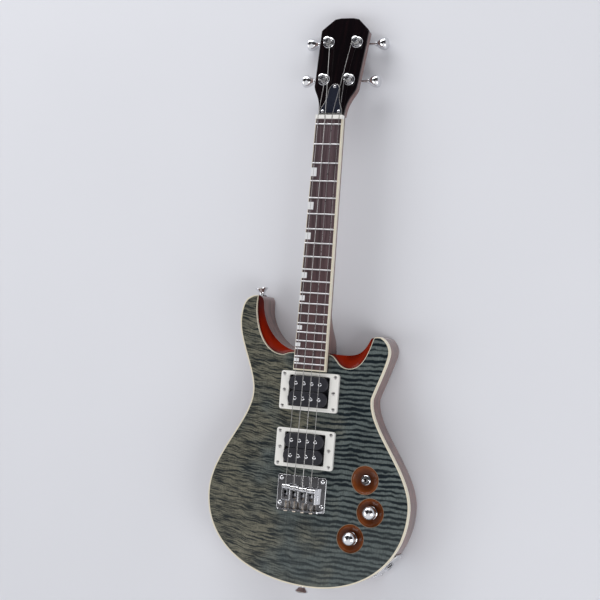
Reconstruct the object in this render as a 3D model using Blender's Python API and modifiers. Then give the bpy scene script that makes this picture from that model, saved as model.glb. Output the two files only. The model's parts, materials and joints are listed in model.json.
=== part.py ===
"""A solid-body electric tenor ukulele, modelled piece by piece and laid on its flat back.

The face looks along +Z, the headstock along +Y and the treble side along +X. The origin is on the
back, on the centre line, under the line where the scale length ends at the saddles.
"""
import math

import bmesh
import bpy
from mathutils import Matrix, Vector
from mathutils.geometry import interpolate_bezier

MM = 0.001

# Clearances
GAP = 0.3 * MM
RUN_GAP = 0.3 * MM
WINDING_GAP = 0.5 * MM

# Body
BODY_THICK = 40.0 * MM
CAP_THICK = 6.0 * MM
RIM_WIDTH = 1.8 * MM
BACK_ROUND = 12.0 * MM
CUT_ROUND = 3.0 * MM
ROUND_TAPER = 45.0 * MM
BODY_END = 158.6 * MM
SCOOP_START = (0.8 * MM, 3.0 * MM)
SCOOP_DEPTH = (1.6 * MM, 8.5 * MM)

# Outlines: x, y, direction in degrees, handle before, handle after, all in millimetres
BASS_TIP = (-77.8, 223.0)
TREBLE_TIP = (75.6, 180.8)
SIDES = (
    (-99.0, 193.0, 269, 23, 27), (-74.6, 105.8, 269, 26, 35), (-123.6, -17.0, 269, 45, 66),
    (11.9, -118.5, -1, 73, 66), (134.5, -18.1, 88, 66, 46), (79.0, 107.9, 89, 37, 5),
    (96.3, 164.0, 89, 13, 12), (83.6, 182.4, 179, 2, 5),
)
BASS_RIM = ((-20.6, 157.4, 183, 2, 17), (-41.1, 153.4, 177, 6, 30), (*BASS_TIP, 80, 25, 2))
TREBLE_RIM = ((*TREBLE_TIP, 252, 2, 15), (48.4, 142.5, 185, 17, 17), (20.6, 157.4, 179, 10, 2))
BASS_SIDE = ((-20.6, 158.6, 177, 2, 30), (-71.6, 209.9, 92, 24, 5), (-75.7, 222.4, 144, 6, 2))
TREBLE_SIDE = ((75.5, 181.4, 189, 2, 6), (66.1, 172.1, 236, 8, 16), (20.6, 158.6, 176, 30, 2))
FACET_ANGLE = 12.0
SCOOP_STATIONS = 16

# Neck and fingerboard
SCALE_LENGTH = 432.0 * MM
FRET_COUNT = 19
FRET_WIDTH = 2.2 * MM
FRET_HEIGHT = 1.0 * MM
NUT_BEHIND_ZERO = 6.2 * MM
NUT_THICK = 4.8 * MM
NUT_OVER_FRET = 1.3 * MM
BOARD_THICK = 5.5 * MM
BOARD_PAST_LAST_FRET = 7.86 * MM
BOARD_HALF_AT_NUT = 17.3 * MM
BOARD_HALF_AT_END = 20.8 * MM
BOARD_BINDING = 1.6 * MM
NECK_RISE = 2.7 * MM
NECK_DEPTH_AT_NUT = 14.5 * MM
NECK_DEPTH_AT_HEEL = 17.0 * MM
HEEL_DEPTH = 36.5 * MM
HEEL_FLAT = 7.0 * MM
HEEL_START = 205.0 * MM
HEEL_FALL = 1.2
HEEL_STEPS = 4
HEEL_SQUARENESS = 2.3
# Distance from the nut along the headstock, half width and depth where the neck runs into its back
NECK_INTO_HEAD = (
    (6.0 * MM, 15.6 * MM, 13.5 * MM), (16.0 * MM, 15.2 * MM, 10.8 * MM), (30.0 * MM, 14.0 * MM, 8.0 * MM))
TENON_HALF = 20.3 * MM
TENON_DEPTH = 25.0 * MM
ROD_CHANNEL_HALF = 3.3 * MM
ROD_CHANNEL_DEPTH = 12.0 * MM
ROD_HALF = 2.7 * MM
ROD_HEIGHT = 6.5 * MM
ROD_START = 176.0 * MM
ROD_NUT_RADIUS = 3.0 * MM
ROD_NUT_LENGTH = 12.0 * MM
ROD_ACCESS = 31.0 * MM

# Headstock, in its own tilted frame: x, distance along it from the nut, height above its face
HEAD_TILT = math.radians(13.0)
HEAD_THICK = 11.0 * MM
HEADPLATE_THICK = 2.0 * MM
HEAD_SIDE = ((16.6, 1.0, 90, 2, 24), (27.6, 39.5, 88, 10, 24), (30.9, 112.0, 88, 20, 2))
HEAD_CORNERS = ((29.2, 114.4), (15.6, 127.4), (8.0, 129.0))
COVER_SIDE = (
    (15.0, 1.6, 95, 2, 8), (9.4, 18.0, 105, 5, 6), (7.6, 30.0, 92, 6, 5), (0.0, 40.6, 180, 5, 2))
COVER_THICK = 2.0 * MM

# Strings, bass to treble
STRING_NAMES = ("g", "c", "e", "a")
STRING_RADIUS = (0.30 * MM, 0.45 * MM, 0.36 * MM, 0.28 * MM)
STRING_GAP_AT_NUT = 9.05 * MM
STRING_GAP_AT_SADDLE = 10.85 * MM
WINDING_TURNS = 3
POINTS_PER_TURN = 14

# Bridge
PLATE_HALF_WIDTH = 31.0 * MM
PLATE_FRONT = 11.2 * MM
PLATE_BACK = 30.0 * MM
PLATE_THICK = 2.0 * MM
PLATE_CORNER = 1.5 * MM
WALL_HALF_WIDTH = 26.0 * MM
WALL_CORNER = 1.2 * MM
WALL_SUNK = 0.2 * MM
WALL_THICK = 2.0 * MM
WALL_LEDGE = 0.3 * MM
WALL_HEIGHT = 9.0 * MM
SADDLE_WIDTH = 10.2 * MM
SADDLE_LENGTH = 18.8 * MM
SADDLE_HEIGHT = 10.0 * MM
SADDLE_FRONTS = (0.6 * MM, -0.4 * MM, -1.2 * MM, -1.8 * MM)
CREST_FROM_FRONT = 2.6 * MM
SLOT_HALF = 2.3 * MM
SLOT_FRONT = 4.9 * MM
SLOT_BACK = 15.6 * MM
STRING_HOLE_FROM_FRONT = 9.5 * MM
STRING_HOLE_RADIUS = 1.9 * MM
FERRULE_RADIUS = 4.2 * MM
FERRULE_DEPTH = 6.0 * MM
HEIGHT_HOLE_RADIUS = 1.1 * MM
HEIGHT_HOLE_HALF_GAP = 3.2 * MM
HEIGHT_HOLE_DEPTH = 5.0 * MM
SCREW_HEIGHT = 5.0 * MM
SCREW_RADIUS = 1.3 * MM
SCREW_HEAD_RADIUS = 2.4 * MM
SCREW_HEAD_LENGTH = 1.8 * MM
SPRING_RADIUS = 2.0 * MM
SPRING_WIRE = 0.3 * MM
SPRING_TURNS = 5
POINTS_PER_CURL = 8

# Pickups: their bobbins and baseplate set the ring's window, the well below it and the ring
NECK_PICKUP_GAP = 1.6 * MM
BRIDGE_PICKUP_Y = 43.6 * MM
BOBBIN_HALF_LENGTH = 25.2 * MM
BOBBIN_HALF_WIDTH = 8.6 * MM
BOBBIN_ROW = 9.1 * MM
BOBBIN_RISE = 8.3 * MM
BOBBIN_HEIGHT = 10.0 * MM
POLE_GAP = 10.25 * MM
POLE_RADIUS = 2.3 * MM
POLE_RISE = 1.2 * MM
KEEPER_HEIGHT = 3.0 * MM
BASEPLATE_THICK = 1.6 * MM
BASEPLATE_MARGIN = (0.4 * MM, 0.3 * MM)
EAR_HALF = (34.4 * MM, 5.0 * MM)
EAR_CLEARANCE = 1.0 * MM
EAR_POCKET_DEPTH = 18.0 * MM
WINDOW_CLEARANCE = (0.8 * MM, 0.9 * MM)
WELL_CLEARANCE = (3.4 * MM, 2.6 * MM)
WELL_CORNER = 3.0 * MM
WELL_DEPTH = 24.0 * MM
RING_LAP = (1.8 * MM, 2.4 * MM)
RING_CORNER = 3.0 * MM
RING_HEIGHT = 4.0 * MM
HEIGHT_SCREW_FROM_EAR_END = 2.8 * MM
HEIGHT_SCREW_RADIUS = 1.3 * MM
HEIGHT_SCREW_HEAD = 2.5 * MM
HEIGHT_SCREW_LENGTH = 17.0 * MM
WIRE_RADIUS = 2.5 * MM

# Controls on the face: toggle, volume, tone. Their heights are over the floor of the dish
CONTROLS = ((78.0, 14.4), (87.5, -22.6), (65.2, -55.2))
DISH_RADIUS = 16.7 * MM
DISH_DEPTH = 5.1 * MM
DISH_SHAPE = ((1.0, 0.0), (0.88, 0.48), (0.70, 0.82), (0.48, 1.0))
SHAFT_HOLE = 4.3 * MM
CAVITY_RADIUS = 17.0 * MM
CAVITY_WEB = 3.3 * MM
COVER_LEDGE = 4.0 * MM
BACK_COVER_THICK = 2.0 * MM
KNOB_RADIUS = 7.8 * MM
KNOB_OVER_DISH = 2.1 * MM
KNOB_HEIGHT = 13.5 * MM
POT_RADIUS = 8.5 * MM
POT_HEIGHT = 8.0 * MM
POT_BUSHING = 4.0 * MM
BUSHING_UNDER_KNOB = 0.4 * MM
POT_SHAFT = 3.0 * MM
POT_SHAFT_IN_KNOB = 7.0 * MM
TOGGLE_BODY = (6.6 * MM, 4.2 * MM, 10.0 * MM)
TOGGLE_NECK = 3.1 * MM
TOGGLE_NECK_OVER_DISH = 3.7 * MM
TOGGLE_BORE = 2.3 * MM
TOGGLE_PIVOT_OVER_DISH = 0.7 * MM
TOGGLE_NUT = (5.6 * MM, 2.4 * MM)
LEVER_LENGTH = 12.0 * MM
LEVER_TAIL = 4.5 * MM
LEVER_RADIUS = 0.9 * MM
LEVER_TIP = 1.7 * MM

# Jack and strap buttons, placed by their share of the way along one stretch of the side
JACK_STRETCH = 4
JACK_SHARE = 0.60
JACK_BELOW_MIDDLE = 0.5 * MM
JACK_PLATE_HALF = (20.0 * MM, 13.0 * MM)
JACK_PLATE_THICK = 1.6 * MM
JACK_SEAT = 1.5 * MM
JACK_BORE = 11.0 * MM
JACK_BORE_DEPTH = 26.0 * MM
JACK_SLEEVE = 4.7 * MM
JACK_HOLE = 3.3 * MM
JACK_INSIDE = 16.0 * MM
JACK_NUT = (7.0 * MM, 2.2 * MM)
HORN_BUTTON_SHARE = 0.10
END_BUTTON_SHARE = 0.955
STRAP_PROFILE = ((6.6, 11.0), (6.6, 9.6), (3.2, 5.4), (3.0, 3.6), (4.6, 1.2), (4.6, 0.0))
STRAP_SHANK = 2.2 * MM
STRAP_SHANK_LENGTH = 12.0 * MM
STRAP_SEAT = 0.6 * MM

# Tuners, in the headstock's frame
POSTS = ((-16.3, 46.5), (-18.4, 96.0), (18.4, 96.0), (16.3, 46.5))
SHAFT_OFFSET = 5.0 * MM
HOUSING_HALF = (7.6 * MM, 9.5 * MM)
HOUSING_HEIGHT = 6.8 * MM
SLEEVE_RADIUS = 4.8 * MM
BUSHING_RADIUS = 7.2 * MM
BUSHING_THICK = 1.3 * MM
POST_RADIUS = 3.2 * MM
POST_BORE = 3.6 * MM
POST_COLLAR = 4.1 * MM
POST_HEIGHT = 10.2 * MM
POST_FOOT = 2.5 * MM
BUTTON_SHAFT = 1.6 * MM
BUTTON_PROFILE = (
    (1.9, 19.0), (2.7, 20.2), (3.4, 22.5), (5.2, 27.0), (7.0, 29.6), (7.0, 31.6), (5.6, 33.6), (2.8, 34.5))

FINISHES = {
    "mahogany": ((0.20, 0.085, 0.045), 0.35, 0.0),
    "figured_maple": ((0.06, 0.075, 0.07), 0.2, 0.0),
    "cream_binding": ((0.75, 0.69, 0.52), 0.35, 0.0),
    "rosewood": ((0.075, 0.03, 0.022), 0.5, 0.0),
    "bone_white": ((0.83, 0.82, 0.77), 0.4, 0.0),
    "black_gloss": ((0.01, 0.01, 0.012), 0.12, 0.0),
    "dark_plastic": ((0.02, 0.025, 0.05), 0.3, 0.0),
    "ring_white": ((0.80, 0.79, 0.74), 0.35, 0.0),
    "coil_black": ((0.015, 0.015, 0.016), 0.4, 0.0),
    "chrome": ((0.80, 0.80, 0.81), 0.08, 1.0),
    "string_steel": ((0.62, 0.61, 0.58), 0.3, 1.0),
    "steel": ((0.55, 0.55, 0.56), 0.3, 1.0),
}

# Heights and places that follow from the sizes above
CAP_BOTTOM = BODY_THICK - CAP_THICK
CAP_SEAT = CAP_BOTTOM - GAP
TENON_BOTTOM = BODY_THICK - TENON_DEPTH
WELL_FLOOR = BODY_THICK - WELL_DEPTH
EAR_POCKET_FLOOR = BODY_THICK - EAR_POCKET_DEPTH
DISH_FLOOR = BODY_THICK - DISH_DEPTH
KNOB_BASE = DISH_FLOOR + KNOB_OVER_DISH
POT_BUSHING_TOP = KNOB_BASE - BUSHING_UNDER_KNOB
POT_SHAFT_TOP = KNOB_BASE + POT_SHAFT_IN_KNOB
TOGGLE_NECK_TOP = DISH_FLOOR + TOGGLE_NECK_OVER_DISH
TOGGLE_PIVOT = DISH_FLOOR + TOGGLE_PIVOT_OVER_DISH
JACK_HEIGHT = BODY_THICK / 2 - JACK_BELOW_MIDDLE
BUTTON_HEIGHT = BODY_THICK / 2
NECK_TOP = BODY_THICK + NECK_RISE
BOARD_BOTTOM = NECK_TOP + GAP
BOARD_TOP = BOARD_BOTTOM + BOARD_THICK
FRET_TOP = BOARD_TOP + FRET_HEIGHT
BOARD_END = SCALE_LENGTH * 2 ** (-FRET_COUNT / 12) - BOARD_PAST_LAST_FRET
NUT_FRONT = SCALE_LENGTH + NUT_BEHIND_ZERO
NUT_BACK = NUT_FRONT + NUT_THICK
HEAD_FACE = NECK_TOP + (HEADPLATE_THICK + GAP) * math.cos(HEAD_TILT)
HEAD_FRAME = Matrix.Translation((0, NUT_BACK, HEAD_FACE)) @ Matrix.Rotation(-HEAD_TILT, 4, "X")
HOUSING_TOP = -(HEAD_THICK + GAP)
SHAFT_HEIGHT = HOUSING_TOP - HOUSING_HEIGHT / 2
BASEPLATE_HALF = (
    BOBBIN_HALF_LENGTH + BASEPLATE_MARGIN[0], BOBBIN_ROW + BOBBIN_HALF_WIDTH + BASEPLATE_MARGIN[1])
HEIGHT_SCREW_X = EAR_HALF[0] - HEIGHT_SCREW_FROM_EAR_END
WELL_HALF = (BASEPLATE_HALF[0] + WELL_CLEARANCE[0], BASEPLATE_HALF[1] + WELL_CLEARANCE[1])
EAR_POCKET_HALF = (EAR_HALF[0] + EAR_CLEARANCE, EAR_HALF[1] + EAR_CLEARANCE)
RING_HALF = (EAR_POCKET_HALF[0] + RING_LAP[0], WELL_HALF[1] + RING_LAP[1])
WINDOW_HALF = (
    BOBBIN_HALF_LENGTH + WINDOW_CLEARANCE[0], BOBBIN_ROW + BOBBIN_HALF_WIDTH + WINDOW_CLEARANCE[1])
PICKUP_Y = (BOARD_END - NECK_PICKUP_GAP - RING_HALF[1], BRIDGE_PICKUP_Y)
PLATE_BOTTOM = BODY_THICK + GAP
PLATE_TOP = PLATE_BOTTOM + PLATE_THICK
SADDLE_BOTTOM = PLATE_TOP + GAP
SADDLE_TOP = SADDLE_BOTTOM + SADDLE_HEIGHT
SCREW_AXIS = SADDLE_BOTTOM + SCREW_HEIGHT
CLEAR_ABOVE = 30.0 * MM
STRING_CLEAR = POST_RADIUS + RUN_GAP

# Turns a flat outline drawn in x and z to stand upright, and one drawn in y and z to face along x
UPRIGHT = Matrix.Rotation(math.pi / 2, 4, "X")
SIDEWAYS = Matrix(((0, 0, 1, 0), (1, 0, 0, 0), (0, 1, 0, 0), (0, 0, 0, 1)))


def clear_scene():
    for obj in list(bpy.data.objects):
        bpy.data.objects.remove(obj, do_unlink=True)


def new_collection(name):
    collection = bpy.data.collections.new(name)
    bpy.context.scene.collection.children.link(collection)
    return collection


def make_finishes():
    finishes = {}
    for name, (color, roughness, metallic) in FINISHES.items():
        material = bpy.data.materials.new(name)
        material.use_nodes = True
        shader = material.node_tree.nodes["Principled BSDF"]
        shader.inputs["Base Color"].default_value = (*color, 1.0)
        shader.inputs["Roughness"].default_value = roughness
        shader.inputs["Metallic"].default_value = metallic
        finishes[name] = material
    return finishes


clear_scene()
PARTS = new_collection("tenor_ukulele")
CUTTERS = new_collection("cutters")
MATERIALS = make_finishes()


def place(obj, finish=None, frame=None, parent=None):
    """Puts an object in the instrument, or with no finish among the cutters."""
    (PARTS if finish else CUTTERS).objects.link(obj)
    if finish:
        obj.data.materials.append(MATERIALS[finish])
    else:
        obj.hide_render = True
        obj.display_type = "WIRE"
    if parent:
        obj.parent = parent
    if frame:
        obj.matrix_basis = frame
    return obj


def from_bmesh(name, bm, finish=None, frame=None, parent=None, smooth=False):
    mesh = bpy.data.meshes.new(name)
    bmesh.ops.recalc_face_normals(bm, faces=bm.faces)
    bm.to_mesh(mesh)
    bm.free()
    if smooth:
        mesh.shade_smooth()
        mesh.set_sharp_from_angle(angle=math.radians(35))
    return place(bpy.data.objects.new(name, mesh), finish, frame, parent)


def box(name, low, high, finish=None, frame=None, parent=None):
    low, high = Vector(low), Vector(high)
    bm = bmesh.new()
    bmesh.ops.create_cube(bm, size=1.0)
    bmesh.ops.scale(bm, vec=high - low, verts=bm.verts)
    bmesh.ops.translate(bm, vec=(high + low) / 2, verts=bm.verts)
    return from_bmesh(name, bm, finish, frame, parent)


def add_rod(bm, start, end, radius, sides=16, turn=0.0):
    """Adds a cylinder from one point to another to a mesh."""
    start, end = Vector(start), Vector(end)
    axis = end - start
    matrix = Matrix.Translation((start + end) / 2) @ axis.to_track_quat("Z", "Y").to_matrix().to_4x4()
    bmesh.ops.create_cone(
        bm, cap_ends=True, segments=sides, radius1=radius, radius2=radius, depth=axis.length,
        matrix=matrix @ Matrix.Rotation(turn, 4, "Z"))


def rods(name, ends, sides=16, finish=None, frame=None, parent=None):
    """Cylinders that don't touch each other, in one mesh: each is (start, end, radius)."""
    bm = bmesh.new()
    for start, end, radius in ends:
        add_rod(bm, start, end, radius, sides)
    return from_bmesh(name, bm, finish, frame, parent, smooth=True)


def plate(name, loops, bottom, top, finish=None, frame=None, parent=None):
    """A flat piece: loops of (x, y) are its outline and its holes, filled between two heights."""
    curve = bpy.data.curves.new(name, "CURVE")
    curve.dimensions = "2D"
    curve.fill_mode = "BOTH"
    curve.extrude = (top - bottom) / 2
    for loop in loops:
        spline = curve.splines.new("POLY")
        spline.points.add(len(loop) - 1)
        spline.use_cyclic_u = True
        for point, xy in zip(spline.points, loop):
            point.co = (xy[0], xy[1], 0, 1)
    outline = bpy.data.objects.new(name + "_outline", curve)
    bpy.context.scene.collection.objects.link(outline)
    evaluated = outline.evaluated_get(bpy.context.evaluated_depsgraph_get())
    mesh = bpy.data.meshes.new_from_object(evaluated)
    bpy.data.objects.remove(outline)
    bm = bmesh.new()
    bm.from_mesh(mesh)
    bpy.data.meshes.remove(mesh)
    bmesh.ops.remove_doubles(bm, verts=bm.verts, dist=0.001 * MM)
    bmesh.ops.translate(bm, vec=(0, 0, (top + bottom) / 2), verts=bm.verts)
    return from_bmesh(name, bm, finish, frame, parent)


def turned(name, profile, finish=None, frame=None, parent=None, steps=20, closed=False):
    """A round piece: a profile of (radius, height), from top to bottom outside, spun about Z."""
    edges = [(i, i + 1) for i in range(len(profile) - 1)]
    if closed:
        edges.append((len(profile) - 1, 0))
    mesh = bpy.data.meshes.new(name)
    mesh.from_pydata([(radius, 0, height) for radius, height in profile], edges, [])
    obj = place(bpy.data.objects.new(name, mesh), finish, frame, parent)
    spin = obj.modifiers.new("spin", "SCREW")
    spin.steps = steps
    spin.render_steps = steps
    spin.use_merge_vertices = True
    spin.merge_threshold = 0.001 * MM
    spin.use_smooth_shade = True
    return obj


def tube(name, points, radius, finish, parent=None, resolution=1):
    """A wire or string: a round tube with filled ends along a list of points."""
    curve = bpy.data.curves.new(name, "CURVE")
    curve.dimensions = "3D"
    curve.bevel_depth = radius
    curve.bevel_resolution = resolution
    curve.use_fill_caps = True
    spline = curve.splines.new("POLY")
    spline.points.add(len(points) - 1)
    for point, co in zip(spline.points, points):
        point.co = (*co, 1)
    return place(bpy.data.objects.new(name, curve), finish, None, parent)


def loft(name, sections, finish=None, frame=None, parent=None):
    """A solid through closed sections of equally many points, with flat ends."""
    bm = bmesh.new()
    rings = [[bm.verts.new(point) for point in section] for section in sections]
    for ring, following in zip(rings, rings[1:]):
        for i, vert in enumerate(ring):
            j = (i + 1) % len(ring)
            bm.faces.new((vert, ring[j], following[j], following[i]))
    bm.faces.new(rings[0])
    bm.faces.new(rings[-1])
    return from_bmesh(name, bm, finish, frame, parent, smooth=True)


def combine(target, other, operation):
    modifier = target.modifiers.new(other.name, "BOOLEAN")
    modifier.operation = operation
    modifier.object = other
    modifier.solver = "EXACT"


def cut(target, *cutters):
    for cutter in cutters:
        combine(target, cutter, "DIFFERENCE")


def fuse(target, *others):
    for other in others:
        combine(target, other, "UNION")


def along(origin, direction):
    """A frame at a point with its Z axis along a direction."""
    quaternion = Vector(direction).to_track_quat("Z", "Y")
    return Matrix.Translation(origin) @ quaternion.to_matrix().to_4x4()


def bezier_stretch(first, second, samples=64):
    """Fine points between two knots of (x, y, direction, handle before, handle after)."""
    start, end = Vector((first[0], first[1], 0)), Vector((second[0], second[1], 0))
    out = Vector((math.cos(math.radians(first[2])), math.sin(math.radians(first[2])), 0))
    back = Vector((math.cos(math.radians(second[2])), math.sin(math.radians(second[2])), 0))
    fine = interpolate_bezier(start, start + out * first[4], end - back * second[3], end, samples)
    return [point.xy * MM for point in fine]


def curve_points(knots):
    """Points along the knots, as far apart as the facet angle allows."""
    points = []
    for first, second in zip(knots, knots[1:]):
        fine = bezier_stretch(first, second)
        turns = [(b - a).angle_signed(c - b, 0.0) for a, b, c in zip(fine, fine[1:], fine[2:])]
        total = sum(abs(turn) for turn in turns)
        count = max(2, math.ceil(math.degrees(total) / FACET_ANGLE))
        step, passed = total / count, 0.0
        points.append(fine[0])
        target = step
        for turn, point in zip(turns, fine[1:]):
            passed += abs(turn)
            if passed >= target and len(points) and (point - fine[-1]).length > 0.5 * MM:
                points.append(point)
                target += step
    points.append(fine[-1])
    return points


def even_points(knots, count):
    """Points evenly spaced along the knots."""
    fine = []
    for first, second in zip(knots, knots[1:]):
        fine += bezier_stretch(first, second)
    lengths = [0.0]
    for a, b in zip(fine, fine[1:]):
        lengths.append(lengths[-1] + (b - a).length)
    points, index = [], 0
    for step in range(count):
        wanted = lengths[-1] * step / (count - 1)
        while index < len(lengths) - 2 and lengths[index + 1] < wanted:
            index += 1
        span = lengths[index + 1] - lengths[index]
        share = (wanted - lengths[index]) / span if span else 0.0
        points.append(fine[index].lerp(fine[index + 1], share))
    return points


def offset_path(path, distances):
    """An open path moved to its left by a distance at each point, mitred at its corners."""
    moved = []
    for i, point in enumerate(path):
        before = (point - path[i - 1]).normalized() if i else None
        after = (path[i + 1] - point).normalized() if i < len(path) - 1 else None
        before, after = before or after, after or before
        left = Vector((-before.y, before.x)) + Vector((-after.y, after.x))
        moved.append(point + left * distances[i] / (1.0 + before.dot(after)))
    return moved


def inset(path, distance):
    """A path moved to its left, without the points that would cross over at a sharp corner."""
    moved = offset_path(path, [distance] * len(path))
    return [point for point in moved if distance_to(path, point) > 0.98 * distance]


def distance_to(path, point):
    least = math.inf
    for a, b in zip(path, path[1:]):
        share = (point - a).dot(b - a) / (b - a).length_squared
        least = min(least, (point - a.lerp(b, min(1.0, max(0.0, share)))).length)
    return least


def smooth_step(value):
    value = min(1.0, max(0.0, value))
    return value * value * (3 - 2 * value)


def rounded_box(center, half, corner, segments=4):
    """The outline of a rectangle with round corners."""
    points = []
    for quarter, (sx, sy) in enumerate(((1, 1), (-1, 1), (-1, -1), (1, -1))):
        middle = Vector((center[0] + sx * (half[0] - corner), center[1] + sy * (half[1] - corner)))
        for step in range(segments + 1):
            angle = math.pi / 2 * (quarter + step / segments)
            points.append(middle + Vector((math.cos(angle), math.sin(angle))) * corner)
    return points


def circle(center, radius, sides=24):
    turn = [2 * math.pi * step / sides for step in range(sides)]
    return [Vector(center) + Vector((math.cos(a), math.sin(a))) * radius for a in turn]


def board_half(y):
    """Half the fingerboard's width at a place along the neck."""
    share = (y - BOARD_END) / (NUT_BACK - BOARD_END)
    return BOARD_HALF_AT_END + (BOARD_HALF_AT_NUT - BOARD_HALF_AT_END) * share


def string_x(index, gap):
    return (index - (len(STRING_NAMES) - 1) / 2) * gap


def side_place(stretch, share):
    """A point on the body's side, its height left at zero, and the direction that faces out there."""
    knots = outer_knots()
    fine = bezier_stretch(knots[stretch], knots[stretch + 1])
    index = min(len(fine) - 2, int(share * (len(fine) - 1)))
    run = (fine[index + 1] - fine[index]).normalized()
    return Vector((*fine[index], 0)), Vector((run.y, -run.x, 0))


def outer_knots():
    return ((*BASS_TIP, 184, 2, 14), *SIDES, (*TREBLE_TIP, 200, 2, 2))


def rim_path():
    """The edge of the cap, from the neck's bass side round the body to its treble side."""
    bass = curve_points(BASS_RIM)
    outer = curve_points(outer_knots())
    treble = curve_points(TREBLE_RIM)
    return bass[:-1] + outer + treble[1:], len(bass) - 1, len(bass) - 1 + len(outer)


def side_path():
    """The body's side, the same way round, and how much its back edge is rounded at each point."""
    bass = curve_points(BASS_SIDE)
    outer = curve_points(((*BASS_TIP, 184, 2, 14), *SIDES))
    treble = curve_points(TREBLE_SIDE)
    lengths = [0.0]
    for a, b in zip(outer, outer[1:]):
        lengths.append(lengths[-1] + (b - a).length)
    rounds = [CUT_ROUND] * len(bass)
    for length in lengths:
        to_tip = min(length, lengths[-1] - length)
        rounds.append(CUT_ROUND + (BACK_ROUND - CUT_ROUND) * smooth_step(to_tip / ROUND_TAPER))
    rounds += [CUT_ROUND] * len(treble)
    return bass + outer + treble, rounds


def scoop_cutter(name, rim_knots, side_knots):
    """The hollow bevel carved between the rim and the side of one cutaway."""
    rims = even_points(rim_knots, SCOOP_STATIONS)
    sides = even_points(side_knots, SCOOP_STATIONS)
    curve = (0.0, 0.16, 0.38, 0.66, 1.0)
    inside, outside = 1.2 * MM, 8.0 * MM
    sections = []
    for i, (rim, side) in enumerate(zip(rims, sides)):
        bell = math.sin(math.pi * i / (SCOOP_STATIONS - 1)) ** 0.7
        start = BODY_THICK - SCOOP_START[0] - (SCOOP_START[1] - SCOOP_START[0]) * bell
        end = BODY_THICK - SCOOP_DEPTH[0] - (SCOOP_DEPTH[1] - SCOOP_DEPTH[0]) * bell
        across = side - rim
        out = across.normalized()
        floor = [(rim - out * inside, start)]
        floor += [(rim + across * share, end + (start - end) * (1 - share) ** 1.7) for share in curve]
        floor.append((side + out * outside, end - 1.0 * MM))
        top = BODY_THICK + CLEAR_ABOVE
        floor += [(side + out * outside, top), (rim - out * inside, top)]
        sections.append([Vector((*xy, z)) for xy, z in floor])
    first = run_past(sections[0], sections[1])
    last = run_past(sections[-1], sections[-2])
    return loft(name, [first, *sections, last])


def run_past(section, neighbor, distance=4.0 * MM):
    """A cutter's end section again, moved square to itself away from its neighbour."""
    across = (section[1] - section[0]).xy.normalized()
    square = Vector((-across.y, across.x, 0))
    if square.dot(section[0] - neighbor[0]) < 0:
        square.negate()
    return [point + square * distance for point in section]


def make_body():
    """The mahogany block, its pockets, its scooped cutaways and its rounded back edge."""
    path, rounds = side_path()
    sections = []
    for turn in (90, 50, 20, 0):
        angle = math.radians(turn)
        ring = offset_path(path, [r * (1 - math.cos(angle)) for r in rounds])
        sections.append([(p.x, p.y, r * (1 - math.sin(angle))) for p, r in zip(ring, rounds)])
    sections.append([(p.x, p.y, BODY_THICK - GAP) for p in path])
    body = loft("body", sections, "mahogany")

    rim, bass_count, treble_start = rim_path()
    spare = 6.0 * MM
    spread = [spare if bass_count < i < treble_start - 1 else GAP for i in range(len(rim))]
    seat = offset_path(rim, [-distance for distance in spread])
    cut(body, plate("cap_seat", [seat], CAP_SEAT, BODY_THICK + CLEAR_ABOVE))
    cut(body, scoop_cutter("bass_scoop", BASS_RIM, BASS_SIDE))
    cut(body, scoop_cutter("treble_scoop", tuple(TREBLE_RIM), tuple(TREBLE_SIDE)))

    pocket_half = TENON_HALF + GAP
    cut(body, box("neck_pocket", (-pocket_half, BOARD_END, TENON_BOTTOM - GAP),
                  (pocket_half, BODY_END + spare, BODY_THICK + CLEAR_ABOVE)))
    cut(body, plate("control_cavity", [control_outline(CAVITY_RADIUS)], -spare, CAP_SEAT - CAVITY_WEB))
    ledge = BACK_COVER_THICK + 2 * GAP
    cut(body, plate("cover_ledge", [control_outline(CAVITY_RADIUS + COVER_LEDGE)], -spare, ledge))
    cut(body, *WELLS, *DRILLS)
    ferrules = [((x, y, -spare), (x, y, FERRULE_DEPTH), FERRULE_RADIUS) for x, y in string_holes()]
    cut(body, rods("ferrule_holes", ferrules, 8))
    cut(body, wire_channels())
    cut_side_seats(body)
    return body


def make_wells():
    """Cutters for the pickup wells, each with side pockets for the baseplate's ears."""
    wells = []
    top = BODY_THICK + CLEAR_ABOVE
    for number, y in enumerate(PICKUP_Y):
        outline = rounded_box((0, y), WELL_HALF, WELL_CORNER, 3)
        pocket = rounded_box((0, y), EAR_POCKET_HALF, WELL_CORNER, 3)
        well = plate(f"pickup_well_{number}", [outline], WELL_FLOOR, top)
        fuse(well, plate(f"ear_pocket_{number}", [pocket], EAR_POCKET_FLOOR, top + MM))
        wells.append(well)
    return wells


def make_drills():
    """Drills for the strings and the control shafts, each used on every piece it passes through."""
    low, top = -6.0 * MM, BODY_THICK + 6.0 * MM
    strings = [((x, y, low), (x, y, top), STRING_HOLE_RADIUS) for x, y in string_holes()]
    shaft_low = CAP_SEAT - 2 * CAVITY_WEB
    shafts = [((x * MM, y * MM, shaft_low), (x * MM, y * MM, top), SHAFT_HOLE) for x, y in CONTROLS]
    return [rods("string_holes", strings, 8), rods("shaft_holes", shafts, 12)]


def wire_channels():
    """The ways the wires take: between the pickup wells, and from there to the controls."""
    height = WELL_FLOOR + 2 * WIRE_RADIUS
    neck_y, bridge_y = PICKUP_Y
    across = WELL_HALF[0] / 2
    cavity = Vector(CONTROLS[0]) * MM
    wells = ((across, bridge_y, height), (across, neck_y, height), WIRE_RADIUS)
    controls = ((across, bridge_y - 6 * MM, height), (*cavity, height), WIRE_RADIUS)
    channels = rods("well_channel", [wells], 10)
    fuse(channels, rods("control_channel", [controls], 10))
    return channels


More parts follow.
